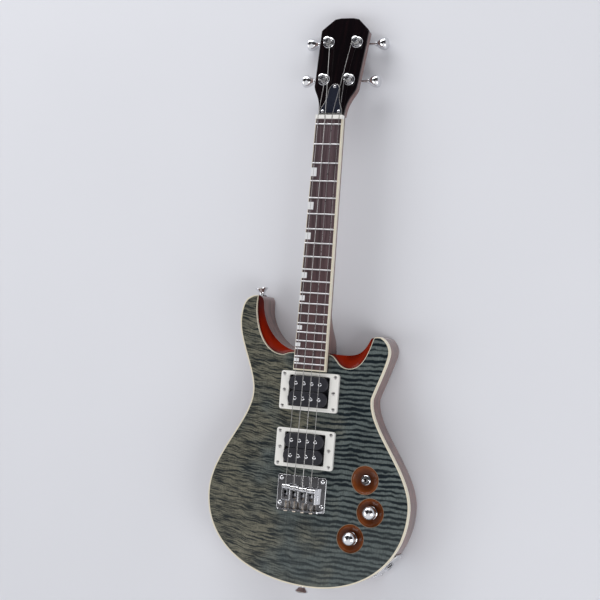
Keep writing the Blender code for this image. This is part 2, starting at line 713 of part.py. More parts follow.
def cut_side_seats(body):
    """The flat seats and bores in the side for the jack and the two strap buttons."""
    origin, out = side_place(JACK_STRETCH, JACK_SHARE)
    frame = along(origin + Vector((0, 0, JACK_HEIGHT)), out)
    half = [size + GAP for size in JACK_PLATE_HALF]
    spare = 8.0 * MM
    cut(body, box("jack_seat", (-half[0], -half[1], -JACK_SEAT), (half[0], half[1], spare), frame=frame))
    cut(body, rods("jack_bore", [((0, 0, -JACK_BORE_DEPTH), (0, 0, spare), JACK_BORE)], 16, frame=frame))
    goal = frame.inverted() @ Vector((CONTROLS[1][0] * MM, CONTROLS[1][1] * MM, JACK_HEIGHT))
    channel = [((0, 0, -JACK_BORE_DEPTH + spare / 2), goal, WIRE_RADIUS)]
    cut(body, rods("wire_channel", channel, 10, frame=frame))
    for name, frame in strap_frames().items():
        seat = [((0, 0, 0), (0, 0, spare), STRAP_PROFILE[-1][0] * MM + 1.0 * MM)]
        cut(body, rods(name + "_seat", seat, 20, frame=frame))
        shank = [((0, 0, -STRAP_SHANK_LENGTH - GAP), (0, 0, spare), STRAP_SHANK + GAP)]
        cut(body, rods(name + "_hole", shank, 12, frame=frame))


def strap_frames():
    """Where each strap button seats, its Z axis pointing out of the body."""
    frames = {}
    places = {"strap_button_horn": (0, HORN_BUTTON_SHARE), "strap_button_end": (3, END_BUTTON_SHARE)}
    for name, (stretch, share) in places.items():
        origin, out = side_place(stretch, share)
        frames[name] = along(origin - out * STRAP_SEAT + Vector((0, 0, BUTTON_HEIGHT)), out)
    return frames


def string_holes():
    """Where each string goes down through the plate and the body."""
    holes = []
    for index in range(len(STRING_NAMES)):
        holes.append((string_x(index, STRING_GAP_AT_SADDLE), -STRING_HOLE_FROM_FRONT))
    return holes


def control_outline(radius):
    """A smooth outline round the three controls: the hull of a disc on each."""
    centers = [Vector(point) * MM for point in CONTROLS]
    middle = sum(centers, Vector((0, 0))) / len(centers)
    centers.sort(key=lambda c: math.atan2(c.y - middle.y, c.x - middle.x))
    points = []
    for i, center in enumerate(centers):
        run_in = (center - centers[i - 1]).normalized()
        run_out = (centers[(i + 1) % len(centers)] - center).normalized()
        start = math.atan2(-run_in.x, run_in.y)
        sweep = run_in.angle_signed(run_out) * -1
        steps = max(3, math.ceil(math.degrees(abs(sweep)) / (2 * FACET_ANGLE)))
        for step in range(steps + 1):
            angle = start + sweep * step / steps
            points.append(center + Vector((math.cos(angle), math.sin(angle))) * radius)
    return points


def make_cap():
    """The figured cap inside the rim, with its openings and dished recesses, and the cream rim."""
    rim = rim_path()[0]
    inner = inset(rim, RIM_WIDTH + GAP)
    half = TENON_HALF + GAP
    notch = [Vector((half, BOARD_END)), Vector((-half, BOARD_END))]
    inner[0].x, inner[-1].x = -half, half
    cap = plate("top_plate", [inner + notch], CAP_BOTTOM, BODY_THICK, "figured_maple")
    cut(cap, *WELLS)
    for number, point in enumerate(CONTROLS):
        profile = [(0.0, 2.0 * MM), (DISH_RADIUS, 2.0 * MM)]
        profile += [(share * DISH_RADIUS, -depth * DISH_DEPTH) for share, depth in DISH_SHAPE]
        profile.append((0.0, -DISH_DEPTH))
        frame = Matrix.Translation((point[0] * MM, point[1] * MM, BODY_THICK))
        cut(cap, turned(f"dish_{number}", profile, frame=frame, steps=24))
    cut(cap, *DRILLS)
    band = rim + list(reversed(inset(rim, RIM_WIDTH)))
    plate("body_binding", [band], CAP_BOTTOM, BODY_THICK, "cream_binding")


def neck_section(half, top, depth, power, frame=None, y=0.0, points=12):
    """A flat-topped section with a rounded underside; a higher power is squarer."""
    section = []
    for step in range(points + 1):
        angle = math.pi * step / points
        across, down = math.cos(angle), math.sin(angle)
        x = half * math.copysign(abs(across) ** (2 / power), across)
        z = top - depth * down ** (2 / power)
        section.append(frame @ Vector((x, y, z)) if frame else Vector((x, y, z)))
    return section


def neck_stations():
    """Places along the neck, each with its section's depth and squareness, from the heel to the nut."""
    heel_back = BODY_END + GAP
    flat_end = heel_back + HEEL_FLAT
    stations = [(heel_back, HEEL_DEPTH, HEEL_SQUARENESS)]
    for step in range(HEEL_STEPS + 1):
        share = step / HEEL_STEPS
        fall = ((1 + math.cos(math.pi * share)) / 2) ** HEEL_FALL
        y = flat_end + (HEEL_START - flat_end) * share
        depth = NECK_DEPTH_AT_HEEL + (HEEL_DEPTH - NECK_DEPTH_AT_HEEL) * fall
        stations.append((y, depth, HEEL_SQUARENESS + (2.0 - HEEL_SQUARENESS) * share))
    stations.append((NUT_BACK, NECK_DEPTH_AT_NUT, 2.0))
    return stations


def make_neck():
    """The neck with its heel, the tenon in the body and the core of the headstock, in one piece."""
    sections = []
    for y, depth, power in neck_stations():
        sections.append(neck_section(board_half(y), NECK_TOP, depth, power, y=y))
    core_top = -(HEADPLATE_THICK + GAP)
    for distance, half, depth in NECK_INTO_HEAD:
        sections.append(neck_section(half, core_top - 0.2 * MM, depth, 2.0, HEAD_FRAME, distance))
    neck = loft("neck", sections, "mahogany")
    low = (-TENON_HALF, BOARD_END + GAP, TENON_BOTTOM)
    fuse(neck, box("tenon", low, (TENON_HALF, BODY_END + GAP + 4 * MM, NECK_TOP)))
    holes = [circle((x * MM, s * MM), SLEEVE_RADIUS + GAP, 16) for x, s in POSTS]
    fuse(neck, plate("head_core", [head_outline(), *holes], -HEAD_THICK, core_top, frame=HEAD_FRAME))
    cut(neck, rod_channel())
    return neck


def rod_channel():
    """The slot for the truss rod, open under the fingerboard and at the headstock's face."""
    low = (-ROD_CHANNEL_HALF, ROD_START - GAP, NECK_TOP - ROD_CHANNEL_DEPTH)
    high = (ROD_CHANNEL_HALF, NUT_BACK + ROD_ACCESS, HEAD_FACE + CLEAR_ABOVE)
    return box("rod_channel", low, high)


def head_outline():
    """The headstock's outline: sides that widen away from the nut, and an eight-sided end."""
    right = curve_points(HEAD_SIDE)
    right += [Vector(point) * MM for point in HEAD_CORNERS]
    return right + [Vector((-point.x, point.y)) for point in reversed(right)]


def make_headplate(head):
    holes = [circle((x * MM, s * MM), SLEEVE_RADIUS + GAP, 16) for x, s in POSTS]
    veneer = plate("headplate", [head_outline(), *holes], -HEADPLATE_THICK, 0.0, "black_gloss", parent=head)
    cut(veneer, rod_channel())
    half = curve_points(COVER_SIDE)
    outline = half + [Vector((-point.x, point.y)) for point in reversed(half[:-1])]
    plate("truss_rod_cover", [outline], GAP, GAP + COVER_THICK, "dark_plastic", parent=head)


def make_truss_rod():
    bottom = NECK_TOP - ROD_CHANNEL_DEPTH + GAP
    nut_end = NUT_BACK + ROD_ACCESS - 8.0 * MM
    nut_start = nut_end - ROD_NUT_LENGTH
    high = (ROD_HALF, nut_start + 1.0 * MM, bottom + ROD_HEIGHT)
    rod = box("truss_rod", (-ROD_HALF, ROD_START, bottom), high, "steel")
    middle = bottom + ROD_HEIGHT / 2
    fuse(rod, rods("rod_nut", [((0, nut_start, middle), (0, nut_end, middle), ROD_NUT_RADIUS)], 6))


def make_fingerboard():
    """The board with its zero fret and numbered frets, the binding round it and the nut."""
    end = NUT_FRONT - GAP
    start = BOARD_END + BOARD_BINDING + GAP
    trim = BOARD_BINDING + GAP
    board = plate("fingerboard", [[
        Vector((-board_half(start) + trim, start)), Vector((board_half(start) - trim, start)),
        Vector((board_half(end) - trim, end)), Vector((-board_half(end) + trim, end)),
    ]], BOARD_BOTTOM, BOARD_TOP, "rosewood")
    bm = bmesh.new()
    for number in range(FRET_COUNT + 1):
        y = SCALE_LENGTH * 2 ** (-number / 12)
        half = board_half(y) - trim - 0.2 * MM
        add_rod(bm, (-half, y, 0), (half, y, 0), FRET_WIDTH / 2, 6)
    bmesh.ops.scale(bm, vec=(1, 1, FRET_HEIGHT / (FRET_WIDTH / 2 * math.cos(math.pi / 6))), verts=bm.verts)
    bmesh.ops.translate(bm, vec=(0, 0, BOARD_TOP), verts=bm.verts)
    fuse(board, from_bmesh("fret_wires", bm))

    inside = BOARD_END + BOARD_BINDING
    right = [
        Vector((board_half(BOARD_END), BOARD_END)), Vector((board_half(end), end)),
        Vector((board_half(end) - BOARD_BINDING, end)), Vector((board_half(inside) - BOARD_BINDING, inside)),
    ]
    left = [Vector((-point.x, point.y)) for point in reversed(right)]
    plate("fingerboard_binding", [right + left], BOARD_BOTTOM, BOARD_TOP, "cream_binding")
    make_nut()


def make_nut():
    """The nut, a standing outline with a slot for each string, behind the zero fret."""
    half, top = board_half(NUT_BACK), FRET_TOP + NUT_OVER_FRET
    outline = [Vector((-half, BOARD_BOTTOM)), Vector((half, BOARD_BOTTOM)), Vector((half, top))]
    for index in reversed(range(len(STRING_NAMES))):
        x, radius = string_x(index, STRING_GAP_AT_NUT), STRING_RADIUS[index] + GAP
        floor = FRET_TOP + GAP - 0.4 * MM
        outline += [Vector((x + radius, top)), Vector((x + radius * 0.8, floor))]
        outline += [Vector((x - radius * 0.8, floor)), Vector((x - radius, top))]
    outline.append(Vector((-half, top)))
    plate("nut", [outline], -NUT_BACK, -NUT_FRONT, "bone_white", frame=UPRIGHT)


def make_pickup(name, y):
    """One pickup: its ring with two height screws, its two coils with their poles, its baseplate."""
    ring_bottom = BODY_THICK + GAP
    ring_top = ring_bottom + RING_HEIGHT
    outline = rounded_box((0, y), RING_HALF, RING_CORNER)
    window = rounded_box((0, y), WINDOW_HALF, RING_CORNER / 2, 2)
    ring = plate(f"{name}_pickup_ring", [outline, window], ring_bottom, ring_top, "ring_white")
    for side in (-1, 1):
        x = side * HEIGHT_SCREW_X
        profile = [
            (0, 0.9 * MM), (HEIGHT_SCREW_HEAD * 0.7, 0.7 * MM), (HEIGHT_SCREW_HEAD, 0.0),
            (HEIGHT_SCREW_RADIUS, -0.6 * MM), (HEIGHT_SCREW_RADIUS, -HEIGHT_SCREW_LENGTH),
            (0, -HEIGHT_SCREW_LENGTH),
        ]
        frame = Matrix.Translation((x, y, ring_top))
        fuse(ring, turned(f"{name}_height_screw_{side}", profile, frame=frame, steps=8))

    top = BODY_THICK + BOBBIN_RISE
    bottom = top - BOBBIN_HEIGHT
    size = (BOBBIN_HALF_LENGTH, BOBBIN_HALF_WIDTH)
    corner = BOBBIN_HALF_WIDTH - 0.2 * MM
    bobbins = [rounded_box((0, y + row * BOBBIN_ROW), size, corner, 4) for row in (-1, 1)]
    coils = plate(f"{name}_pickup_coils", bobbins, bottom, top, "coil_black")
    keeper = (BOBBIN_HALF_LENGTH - 2 * MM, BOBBIN_ROW + BOBBIN_HALF_WIDTH - 0.6 * MM)
    fuse(coils, box(f"{name}_keeper", (-keeper[0], y - keeper[1], bottom - KEEPER_HEIGHT),
                    (keeper[0], y + keeper[1], bottom + 0.4 * MM)))
    poles = []
    for row in (-1, 1):
        for index in range(len(STRING_NAMES)):
            x, pole_y = string_x(index, POLE_GAP), y + row * BOBBIN_ROW
            poles.append(((x, pole_y, top - 2 * MM), (x, pole_y, top + POLE_RISE), POLE_RADIUS))
    fuse(coils, rods(f"{name}_poles", poles, 8))

    base_top = bottom - KEEPER_HEIGHT - GAP
    wide, deep = BASEPLATE_HALF
    ear = EAR_HALF
    base = [(wide, -deep), (wide, -ear[1]), (ear[0], -ear[1]), (ear[0], ear[1]), (wide, ear[1]), (wide, deep)]
    base += [(-x, dy) for x, dy in reversed(base)]
    holes = [circle((side * HEIGHT_SCREW_X, y), HEIGHT_SCREW_RADIUS + RUN_GAP, 12) for side in (-1, 1)]
    corners = [Vector((x, y + dy)) for x, dy in base]
    plate(f"{name}_pickup_baseplate", [corners, *holes], base_top - BASEPLATE_THICK, base_top, "steel")


def make_bridge():
    """The plate with its rear wall, then a saddle, screw and spring for each string."""
    edge = PLATE_BACK + WALL_LEDGE
    half = (PLATE_HALF_WIDTH, (PLATE_FRONT + edge) / 2)
    outline = rounded_box((0, (PLATE_FRONT - edge) / 2), half, PLATE_CORNER, 2)
    bridge = plate("bridge_plate", [outline], PLATE_BOTTOM, PLATE_TOP, "chrome")
    wall_low, wall_high = PLATE_BOTTOM + WALL_SUNK, PLATE_TOP + WALL_HEIGHT
    half = (WALL_HALF_WIDTH, (wall_high - wall_low) / 2)
    wall = rounded_box((0, (wall_low + wall_high) / 2), half, WALL_CORNER, 2)
    fuse(bridge, plate("rear_wall", [wall], PLATE_BACK - WALL_THICK, PLATE_BACK, frame=UPRIGHT))
    behind, before = -PLATE_BACK - MM, -PLATE_BACK + WALL_THICK + MM
    radius = SCREW_RADIUS + RUN_GAP
    bores = [((x, behind, SCREW_AXIS), (x, before, SCREW_AXIS), radius) for x, y in string_holes()]
    cut(bridge, DRILLS[0], rods("screw_bores", bores, 8))
    for index, front in enumerate(SADDLE_FRONTS):
        make_saddle(index, front)


def saddle_profile(front):
    """The side view of a saddle, (y, z), its crest near the front."""
    back, low, high = front - SADDLE_LENGTH, SADDLE_BOTTOM, SADDLE_TOP
    crest = front - CREST_FROM_FRONT
    return [
        Vector((back, low)), Vector((front, low)), Vector((front, high - 2.1 * MM)),
        Vector((front - 0.9 * MM, high - 0.7 * MM)), Vector((crest, high)),
        Vector((crest - 1.5 * MM, high - 0.4 * MM)), Vector((front - SLOT_FRONT, high - 1.1 * MM)),
        Vector((back + 0.8 * MM, high - 1.1 * MM)),
        Vector((back, high - 1.9 * MM)),
    ]


def make_saddle(index, front):
    """A block saddle with its slot, its bored back end and its two height-screw holes."""
    number = index + 1
    x = string_x(index, STRING_GAP_AT_SADDLE)
    left, right = x - SADDLE_WIDTH / 2, x + SADDLE_WIDTH / 2
    saddle = plate(f"saddle_{number}", [saddle_profile(front)], left, right, "chrome", frame=SIDEWAYS)
    below, above = SADDLE_BOTTOM - MM, SADDLE_TOP + MM
    half = (SLOT_HALF, (SLOT_BACK - SLOT_FRONT) / 2)
    slot = rounded_box((x, front - (SLOT_FRONT + SLOT_BACK) / 2), half, SLOT_HALF * 0.8, 2)
    cut(saddle, plate(f"slot_{number}", [slot], below, above))
    back, slot_back = front - SADDLE_LENGTH, front - SLOT_BACK
    bore = [((x, back - MM, SCREW_AXIS), (x, slot_back + MM, SCREW_AXIS), SCREW_RADIUS + RUN_GAP)]
    cut(saddle, rods(f"screw_bore_{number}", bore, 8))
    height_y, floor = front - CREST_FROM_FRONT, SADDLE_TOP - HEIGHT_HOLE_DEPTH
    holes = []
    for side in (-1, 1):
        hole_x = x + side * HEIGHT_HOLE_HALF_GAP
        holes.append(((hole_x, height_y, floor), (hole_x, height_y, above), HEIGHT_HOLE_RADIUS))
    cut(saddle, rods(f"height_holes_{number}", holes, 6))

    wall_back = -PLATE_BACK - GAP
    frame = along((x, wall_back, SCREW_AXIS), (0, -1, 0))
    tip = PLATE_BACK - SLOT_BACK + 1.2 * MM + GAP
    radius, length = SCREW_HEAD_RADIUS, SCREW_HEAD_LENGTH
    profile = [
        (0, length), (radius * 0.75, length), (radius, length * 0.6), (radius, 0),
        (SCREW_RADIUS, 0), (SCREW_RADIUS, -tip), (0, -tip),
    ]
    turned(f"intonation_screw_{number}", profile, "steel", frame, steps=10)
    make_spring(number, x, back - GAP, -(PLATE_BACK - WALL_THICK) + GAP)


def make_spring(number, x, front, back):
    """The spring on an intonation screw, one wire whose ends stand square to what they press on."""
    stub = 2 * SPRING_WIRE
    low, high = back + stub, front - stub
    steps = SPRING_TURNS * POINTS_PER_CURL
    points = []
    for step in range(steps + 1):
        angle = 2 * math.pi * step / POINTS_PER_CURL
        y = high + (low - high) * step / steps
        across, up = SPRING_RADIUS * math.cos(angle), SPRING_RADIUS * math.sin(angle)
        points.append(Vector((x + across, y, SCREW_AXIS + up)))
    first, last = points[0].copy(), points[-1].copy()
    first.y, last.y = front, back
    report_gap(f"intonation_spring_{number}", points, POINTS_PER_CURL, SPRING_WIRE)
    tube(f"intonation_spring_{number}", [first, *points, last], SPRING_WIRE, "steel")


def report_gap(name, points, per_turn, radius):
    """Prints the least gap of a wound tube to its own turns, measured between its points."""
    least = min((a - b).length for i, a in enumerate(points) for b in points[i + per_turn // 2:])
    print(f"{name}: least gap to itself {(least - 2 * radius) / MM:.2f} mm")


def winding_points(start, center, turn, radius, top):
    """Tangent from a point to the post, then down round it, in the headstock's frame."""
    reach = radius + STRING_CLEAR
    away = start.xy - center
    tangent = math.atan2(away.y, away.x) + turn * math.acos(reach / away.length)
    pitch = 2 * radius + WINDING_GAP
    points = []
    for step in range(WINDING_TURNS * POINTS_PER_TURN + 1):
        angle = tangent + turn * 2 * math.pi * step / POINTS_PER_TURN
        around = center + Vector((math.cos(angle), math.sin(angle))) * reach
        points.append(Vector((*around, top - pitch * step / POINTS_PER_TURN)))
    return points


def make_string(index):
    """One string: up through the body, over its saddle, the zero fret and the nut, round its post."""
    name, radius = f"string_{STRING_NAMES[index]}", STRING_RADIUS[index]
    low_x, high_x = string_x(index, STRING_GAP_AT_SADDLE), string_x(index, STRING_GAP_AT_NUT)
    front = SADDLE_FRONTS[index]
    hole_y = -STRING_HOLE_FROM_FRONT
    crest = Vector((low_x, front - CREST_FROM_FRONT + 0.2 * MM, SADDLE_TOP + GAP + radius))
    zero = Vector((high_x, SCALE_LENGTH, FRET_TOP + GAP + radius))
    slot = front - SLOT_FRONT
    points = [
        Vector((low_x, hole_y, 0.5 * MM)),
        Vector((low_x, hole_y, PLATE_TOP + 1.0 * MM)),
        Vector((low_x, slot - 1.5 * MM, SADDLE_TOP - 1.6 * MM)),
        Vector((low_x, slot - 0.2 * MM, SADDLE_TOP + 0.1 * MM + radius)),
        crest,
        zero,
        Vector((high_x, NUT_BACK + 0.6 * MM, FRET_TOP + GAP + radius)),
    ]
    x, distance = POSTS[index]
    turn = 1 if x < 0 else -1
    start = HEAD_FRAME.inverted() @ points[-1]
    top = BUSHING_THICK + GAP + 1.0 * MM + WINDING_TURNS * (2 * radius + WINDING_GAP) + radius + 0.6 * MM
    wound = winding_points(start, Vector((x, distance)) * MM, turn, radius, top)
    report_gap(name, wound, POINTS_PER_TURN, radius)
    tail = wound[-1] + (wound[-1] - wound[-2]).normalized() * 2 * radius
    tube(name, points + [HEAD_FRAME @ point for point in [*wound, tail]], radius, "string_steel")


def make_tuner(index, head):
    """A tuner: its housing with the bushing that clamps it, its string post and its button."""
    letter = STRING_NAMES[index]
    x, distance = Vector(POSTS[index]) * MM
    side = 1 if x > 0 else -1
    bottom = HOUSING_TOP - HOUSING_HEIGHT
    case = rounded_box((0, SHAFT_OFFSET / 2), HOUSING_HALF, 2.0 * MM, 2)
    frame = Matrix.Translation((x, distance, 0))
    housing = plate(f"tuner_housing_{letter}", [case], bottom, HOUSING_TOP, "chrome", frame, head)
    flange = GAP + BUSHING_THICK
    sleeve = [
        (0, flange), (BUSHING_RADIUS - 0.8 * MM, flange), (BUSHING_RADIUS, flange - 0.7 * MM),
        (BUSHING_RADIUS, GAP), (SLEEVE_RADIUS, GAP), (SLEEVE_RADIUS, HOUSING_TOP - 1 * MM),
        (0, HOUSING_TOP - 1 * MM),
    ]
    fuse(housing, turned(f"sleeve_{letter}", sleeve, frame=frame, parent=head, steps=16))
    bore = [((0, 0, bottom + 1.2 * MM), (0, 0, flange + MM), POST_BORE)]
    cut(housing, rods(f"post_bore_{letter}", bore, 12, frame=frame, parent=head))
    start, end = (Vector((side * x, SHAFT_OFFSET, SHAFT_HEIGHT)) for x in (-5 * MM, 12 * MM))
    shaft = [(start, end, BUTTON_SHAFT + RUN_GAP)]
    cut(housing, rods(f"shaft_bore_{letter}", shaft, 8, frame=frame, parent=head))

    collar, foot = flange + GAP, bottom + 1.2 * MM + GAP
    post = [
        (0, POST_HEIGHT), (POST_COLLAR - 0.8 * MM, POST_HEIGHT), (POST_COLLAR, POST_HEIGHT - 0.6 * MM),
        (POST_COLLAR, POST_HEIGHT - 1.4 * MM), (POST_RADIUS, POST_HEIGHT - 2.0 * MM),
        (POST_RADIUS, collar + 1.0 * MM), (POST_COLLAR, collar + 0.7 * MM), (POST_COLLAR, collar),
        (POST_RADIUS, collar), (POST_RADIUS, HOUSING_TOP), (POST_FOOT, HOUSING_TOP - 0.8 * MM),
        (POST_FOOT, foot), (0, foot),
    ]
    turned(f"tuner_post_{letter}", post, "chrome", frame, head, steps=10)

    knob = [(radius * MM, -length * MM) for radius, length in BUTTON_PROFILE]
    inner = 4.5 * MM
    button = [(0, inner), (BUTTON_SHAFT, inner), (BUTTON_SHAFT, knob[0][1]), *knob, (0, knob[-1][1])]
    turn = Matrix.Rotation(-side * math.pi / 2, 4, "Y")
    axis = Matrix.Translation((x, distance + SHAFT_OFFSET, SHAFT_HEIGHT)) @ turn
    turned(f"tuner_button_{letter}", button, "chrome", axis, head, steps=12)


def make_knob(name, point):
    """A domed knob on its shaft, over a potentiometer under the cap."""
    x, y = Vector(point) * MM
    here = Matrix.Translation((x, y, 0))
    dome = [(0, KNOB_BASE + KNOB_HEIGHT)]
    straight = KNOB_HEIGHT * 0.42
    for step in range(1, 5):
        angle = math.pi / 2 * step / 4
        height = straight + (KNOB_HEIGHT - straight) * math.cos(angle)
        dome.append((KNOB_RADIUS * math.sin(angle), KNOB_BASE + height))
    dome += [(KNOB_RADIUS * 0.93, KNOB_BASE + straight * 0.5), (KNOB_RADIUS * 0.93, KNOB_BASE)]
    bore, depth = POT_SHAFT + GAP, POT_SHAFT_TOP + GAP
    dome += [(bore, KNOB_BASE), (bore, depth), (0, depth)]
    turned(f"{name}_knob", dome, "chrome", here, steps=16)
    shaft_bottom = CAP_SEAT - CAVITY_WEB - POT_HEIGHT + 2 * MM
    shaft = [(0, POT_SHAFT_TOP), (POT_SHAFT, POT_SHAFT_TOP), (POT_SHAFT, shaft_bottom), (0, shaft_bottom)]
    turned(f"{name}_pot_shaft", shaft, "steel", here, steps=10)
    web = CAP_SEAT - CAVITY_WEB - GAP
    low, inside = web - POT_HEIGHT, POT_SHAFT + RUN_GAP
    pot = [
        (inside, POT_BUSHING_TOP), (POT_BUSHING, POT_BUSHING_TOP), (POT_BUSHING, web), (POT_RADIUS, web),
        (POT_RADIUS, low), (0, low), (0, shaft_bottom - GAP), (inside, shaft_bottom - GAP),
    ]
    turned(f"{name}_pot", pot, "steel", here, steps=12, closed=True)


def make_toggle(point):
    """The three-way switch: its body and threaded neck, the round nut and the lever."""
    x, y = Vector(point) * MM
    here = Matrix.Translation((x, y, 0))
    web = CAP_SEAT - CAVITY_WEB - GAP
    size = TOGGLE_BODY
    body = box("toggle_switch", (-size[0], -size[1], web - size[2]), (size[0], size[1], web), "steel", here)
    neck = [((0, 0, web - MM), (0, 0, TOGGLE_NECK_TOP), TOGGLE_NECK)]
    fuse(body, rods("toggle_neck", neck, 16, frame=here))
    room = [((0, 0, web - size[2] + 2 * MM), (0, 0, TOGGLE_NECK_TOP + MM), TOGGLE_BORE)]
    cut(body, rods("toggle_bore", room, 16, frame=here))
    low = DISH_FLOOR + GAP
    radius, height = TOGGLE_NUT
    inside = TOGGLE_NECK + GAP
    nut = [
        (inside, low + height), (radius - 0.6 * MM, low + height), (radius, low + height - 0.6 * MM),
        (radius, low), (inside, low),
    ]
    turned("toggle_nut", nut, "chrome", here, steps=12, closed=True)
    top, ball = LEVER_LENGTH, TOGGLE_BORE - RUN_GAP
    lever = [
        (0, top), (LEVER_TIP * 0.7, top - 0.5 * MM), (LEVER_TIP, top - LEVER_TIP),
        (LEVER_TIP * 0.8, top - 2 * LEVER_TIP), (LEVER_RADIUS, ball), (0.8 * ball, 0.6 * ball), (ball, 0),
        (0.8 * ball, -0.6 * ball), (LEVER_RADIUS, -ball), (LEVER_RADIUS, -LEVER_TAIL), (0, -LEVER_TAIL),
    ]
    turned("toggle_lever", lever, "chrome", Matrix.Translation((x, y, TOGGLE_PIVOT)), steps=12)


def make_jack():
    """The jack plate, flat on its seat in the side, and the socket clamped through it."""
    origin, out = side_place(JACK_STRETCH, JACK_SHARE)
    frame = along(origin + Vector((0, 0, JACK_HEIGHT)), out)
    low = -JACK_SEAT + GAP
    high = low + JACK_PLATE_THICK
    hole = circle((0, 0), JACK_SLEEVE + GAP, 16)
    plate("jack_plate", [rounded_box((0, 0), JACK_PLATE_HALF, 3 * MM), hole], low, high, "chrome", frame)
    radius, height = JACK_NUT
    top, collar = high + GAP + height, low - GAP
    socket = [
        (JACK_HOLE, top), (radius - 0.7 * MM, top), (radius, top - 0.6 * MM), (radius, high + GAP),
        (JACK_SLEEVE, high + GAP), (JACK_SLEEVE, collar), (JACK_SLEEVE + 3 * MM, collar),
        (JACK_SLEEVE + 3 * MM, collar - 2 * MM), (JACK_SLEEVE, collar - 2 * MM),
        (JACK_SLEEVE, -JACK_INSIDE), (JACK_HOLE, -JACK_INSIDE),
    ]
    turned("jack_socket", socket, "chrome", frame, steps=12, closed=True)


def make_strap_buttons():
    for name, frame in strap_frames().items():
        profile = [(radius * MM, height * MM + GAP) for radius, height in STRAP_PROFILE]
        profile.insert(0, (0, profile[0][1]))
        tip = GAP - STRAP_SHANK_LENGTH
        profile += [(STRAP_SHANK, GAP), (STRAP_SHANK, tip), (0, tip)]
        turned(name, profile, "chrome", frame, steps=12)


def make_control_cover():
    """The black cover, sunk in its ledge in the back."""
    outline = control_outline(CAVITY_RADIUS + COVER_LEDGE - GAP)
    plate("control_cover", [outline], GAP, GAP + BACK_COVER_THICK, "dark_plastic")


DRILLS = make_drills()
WELLS = make_wells()


def build():
    head = bpy.data.objects.new("headstock_frame", None)
    PARTS.objects.link(head)
    head.matrix_basis = HEAD_FRAME
    make_body()
    make_cap()
    make_control_cover()
    make_neck()
    make_headplate(head)
    make_truss_rod()
    make_fingerboard()
    for name, y in zip(("neck", "bridge"), PICKUP_Y):
        make_pickup(name, y)
    make_bridge()
    for index in range(len(STRING_NAMES)):
        make_string(index)
        make_tuner(index, head)
    make_toggle(CONTROLS[0])
    make_knob("volume", CONTROLS[1])
    make_knob("tone", CONTROLS[2])
    make_jack()
    make_strap_buttons()


build()
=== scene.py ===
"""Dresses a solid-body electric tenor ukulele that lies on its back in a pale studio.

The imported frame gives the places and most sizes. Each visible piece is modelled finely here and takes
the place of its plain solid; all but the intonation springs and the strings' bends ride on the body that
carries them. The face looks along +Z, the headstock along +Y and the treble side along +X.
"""
import json
import math

import bmesh
import bpy
from bpy.props import FloatProperty, FloatVectorProperty, IntProperty, PointerProperty
from mathutils import Matrix, Vector
from mathutils.geometry import interpolate_bezier

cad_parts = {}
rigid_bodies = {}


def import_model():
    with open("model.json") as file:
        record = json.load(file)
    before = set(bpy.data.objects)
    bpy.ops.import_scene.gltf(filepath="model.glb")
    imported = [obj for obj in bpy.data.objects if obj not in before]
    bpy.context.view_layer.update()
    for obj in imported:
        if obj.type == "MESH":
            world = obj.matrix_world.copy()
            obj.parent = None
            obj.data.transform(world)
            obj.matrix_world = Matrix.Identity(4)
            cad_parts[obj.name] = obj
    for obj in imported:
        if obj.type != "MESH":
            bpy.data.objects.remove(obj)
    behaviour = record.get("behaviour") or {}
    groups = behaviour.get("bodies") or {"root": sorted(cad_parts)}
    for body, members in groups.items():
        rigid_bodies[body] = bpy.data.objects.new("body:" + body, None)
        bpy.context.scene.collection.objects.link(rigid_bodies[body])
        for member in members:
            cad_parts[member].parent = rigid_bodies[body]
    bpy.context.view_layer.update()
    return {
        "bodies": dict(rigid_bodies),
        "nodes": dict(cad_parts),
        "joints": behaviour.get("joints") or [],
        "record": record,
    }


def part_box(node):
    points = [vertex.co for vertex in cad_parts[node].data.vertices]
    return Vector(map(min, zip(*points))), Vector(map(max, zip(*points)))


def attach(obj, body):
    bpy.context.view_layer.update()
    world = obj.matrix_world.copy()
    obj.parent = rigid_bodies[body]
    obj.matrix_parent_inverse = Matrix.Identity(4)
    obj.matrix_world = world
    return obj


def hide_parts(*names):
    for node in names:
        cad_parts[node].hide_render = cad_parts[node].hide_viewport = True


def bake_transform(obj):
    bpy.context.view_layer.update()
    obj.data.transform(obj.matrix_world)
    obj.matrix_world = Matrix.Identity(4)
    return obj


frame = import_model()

bl_info = {
    "name": "Tenor ukulele dressing",
    "version": (1, 0, 0),
    "blender": (4, 5, 0),
    "location": "View3D > Sidebar > Ukulele",
    "description": "Models and finishes the pieces of an electric tenor ukulele round its packed solids",
    "category": "Object",
}

MM = 0.001
JOINTS = {joint["name"]: joint for joint in frame["joints"]}


def mm(*lengths):
    """Lengths written in millimetres, in metres."""
    return tuple(length * MM for length in lengths)


def pivot(joint):
    """A point on a joint's axis."""
    return Vector(JOINTS[joint]["pos_m"])


# Outlines of the face: x, y, direction in degrees, handle before, handle after, in millimetres
BASS_TIP = (-77.8, 223.0)
TREBLE_TIP = (75.6, 180.8)
SIDES = (
    (-99.0, 193.0, 269, 23, 27), (-74.6, 105.8, 269, 26, 35), (-123.6, -17.0, 269, 45, 66),
    (11.9, -118.5, -1, 73, 66), (134.5, -18.1, 88, 66, 46), (79.0, 107.9, 89, 37, 5),
    (96.3, 164.0, 89, 13, 12), (83.6, 182.4, 179, 2, 5),
)
BASS_RIM = ((-20.6, 157.4, 183, 2, 17), (-41.1, 153.4, 177, 6, 30), (*BASS_TIP, 80, 25, 2))
TREBLE_RIM = ((*TREBLE_TIP, 252, 2, 15), (48.4, 142.5, 185, 17, 17), (20.6, 157.4, 179, 10, 2))
BASS_SIDE = ((-20.6, 158.6, 177, 2, 30), (-71.6, 209.9, 92, 24, 5), (-75.7, 222.4, 144, 6, 2))
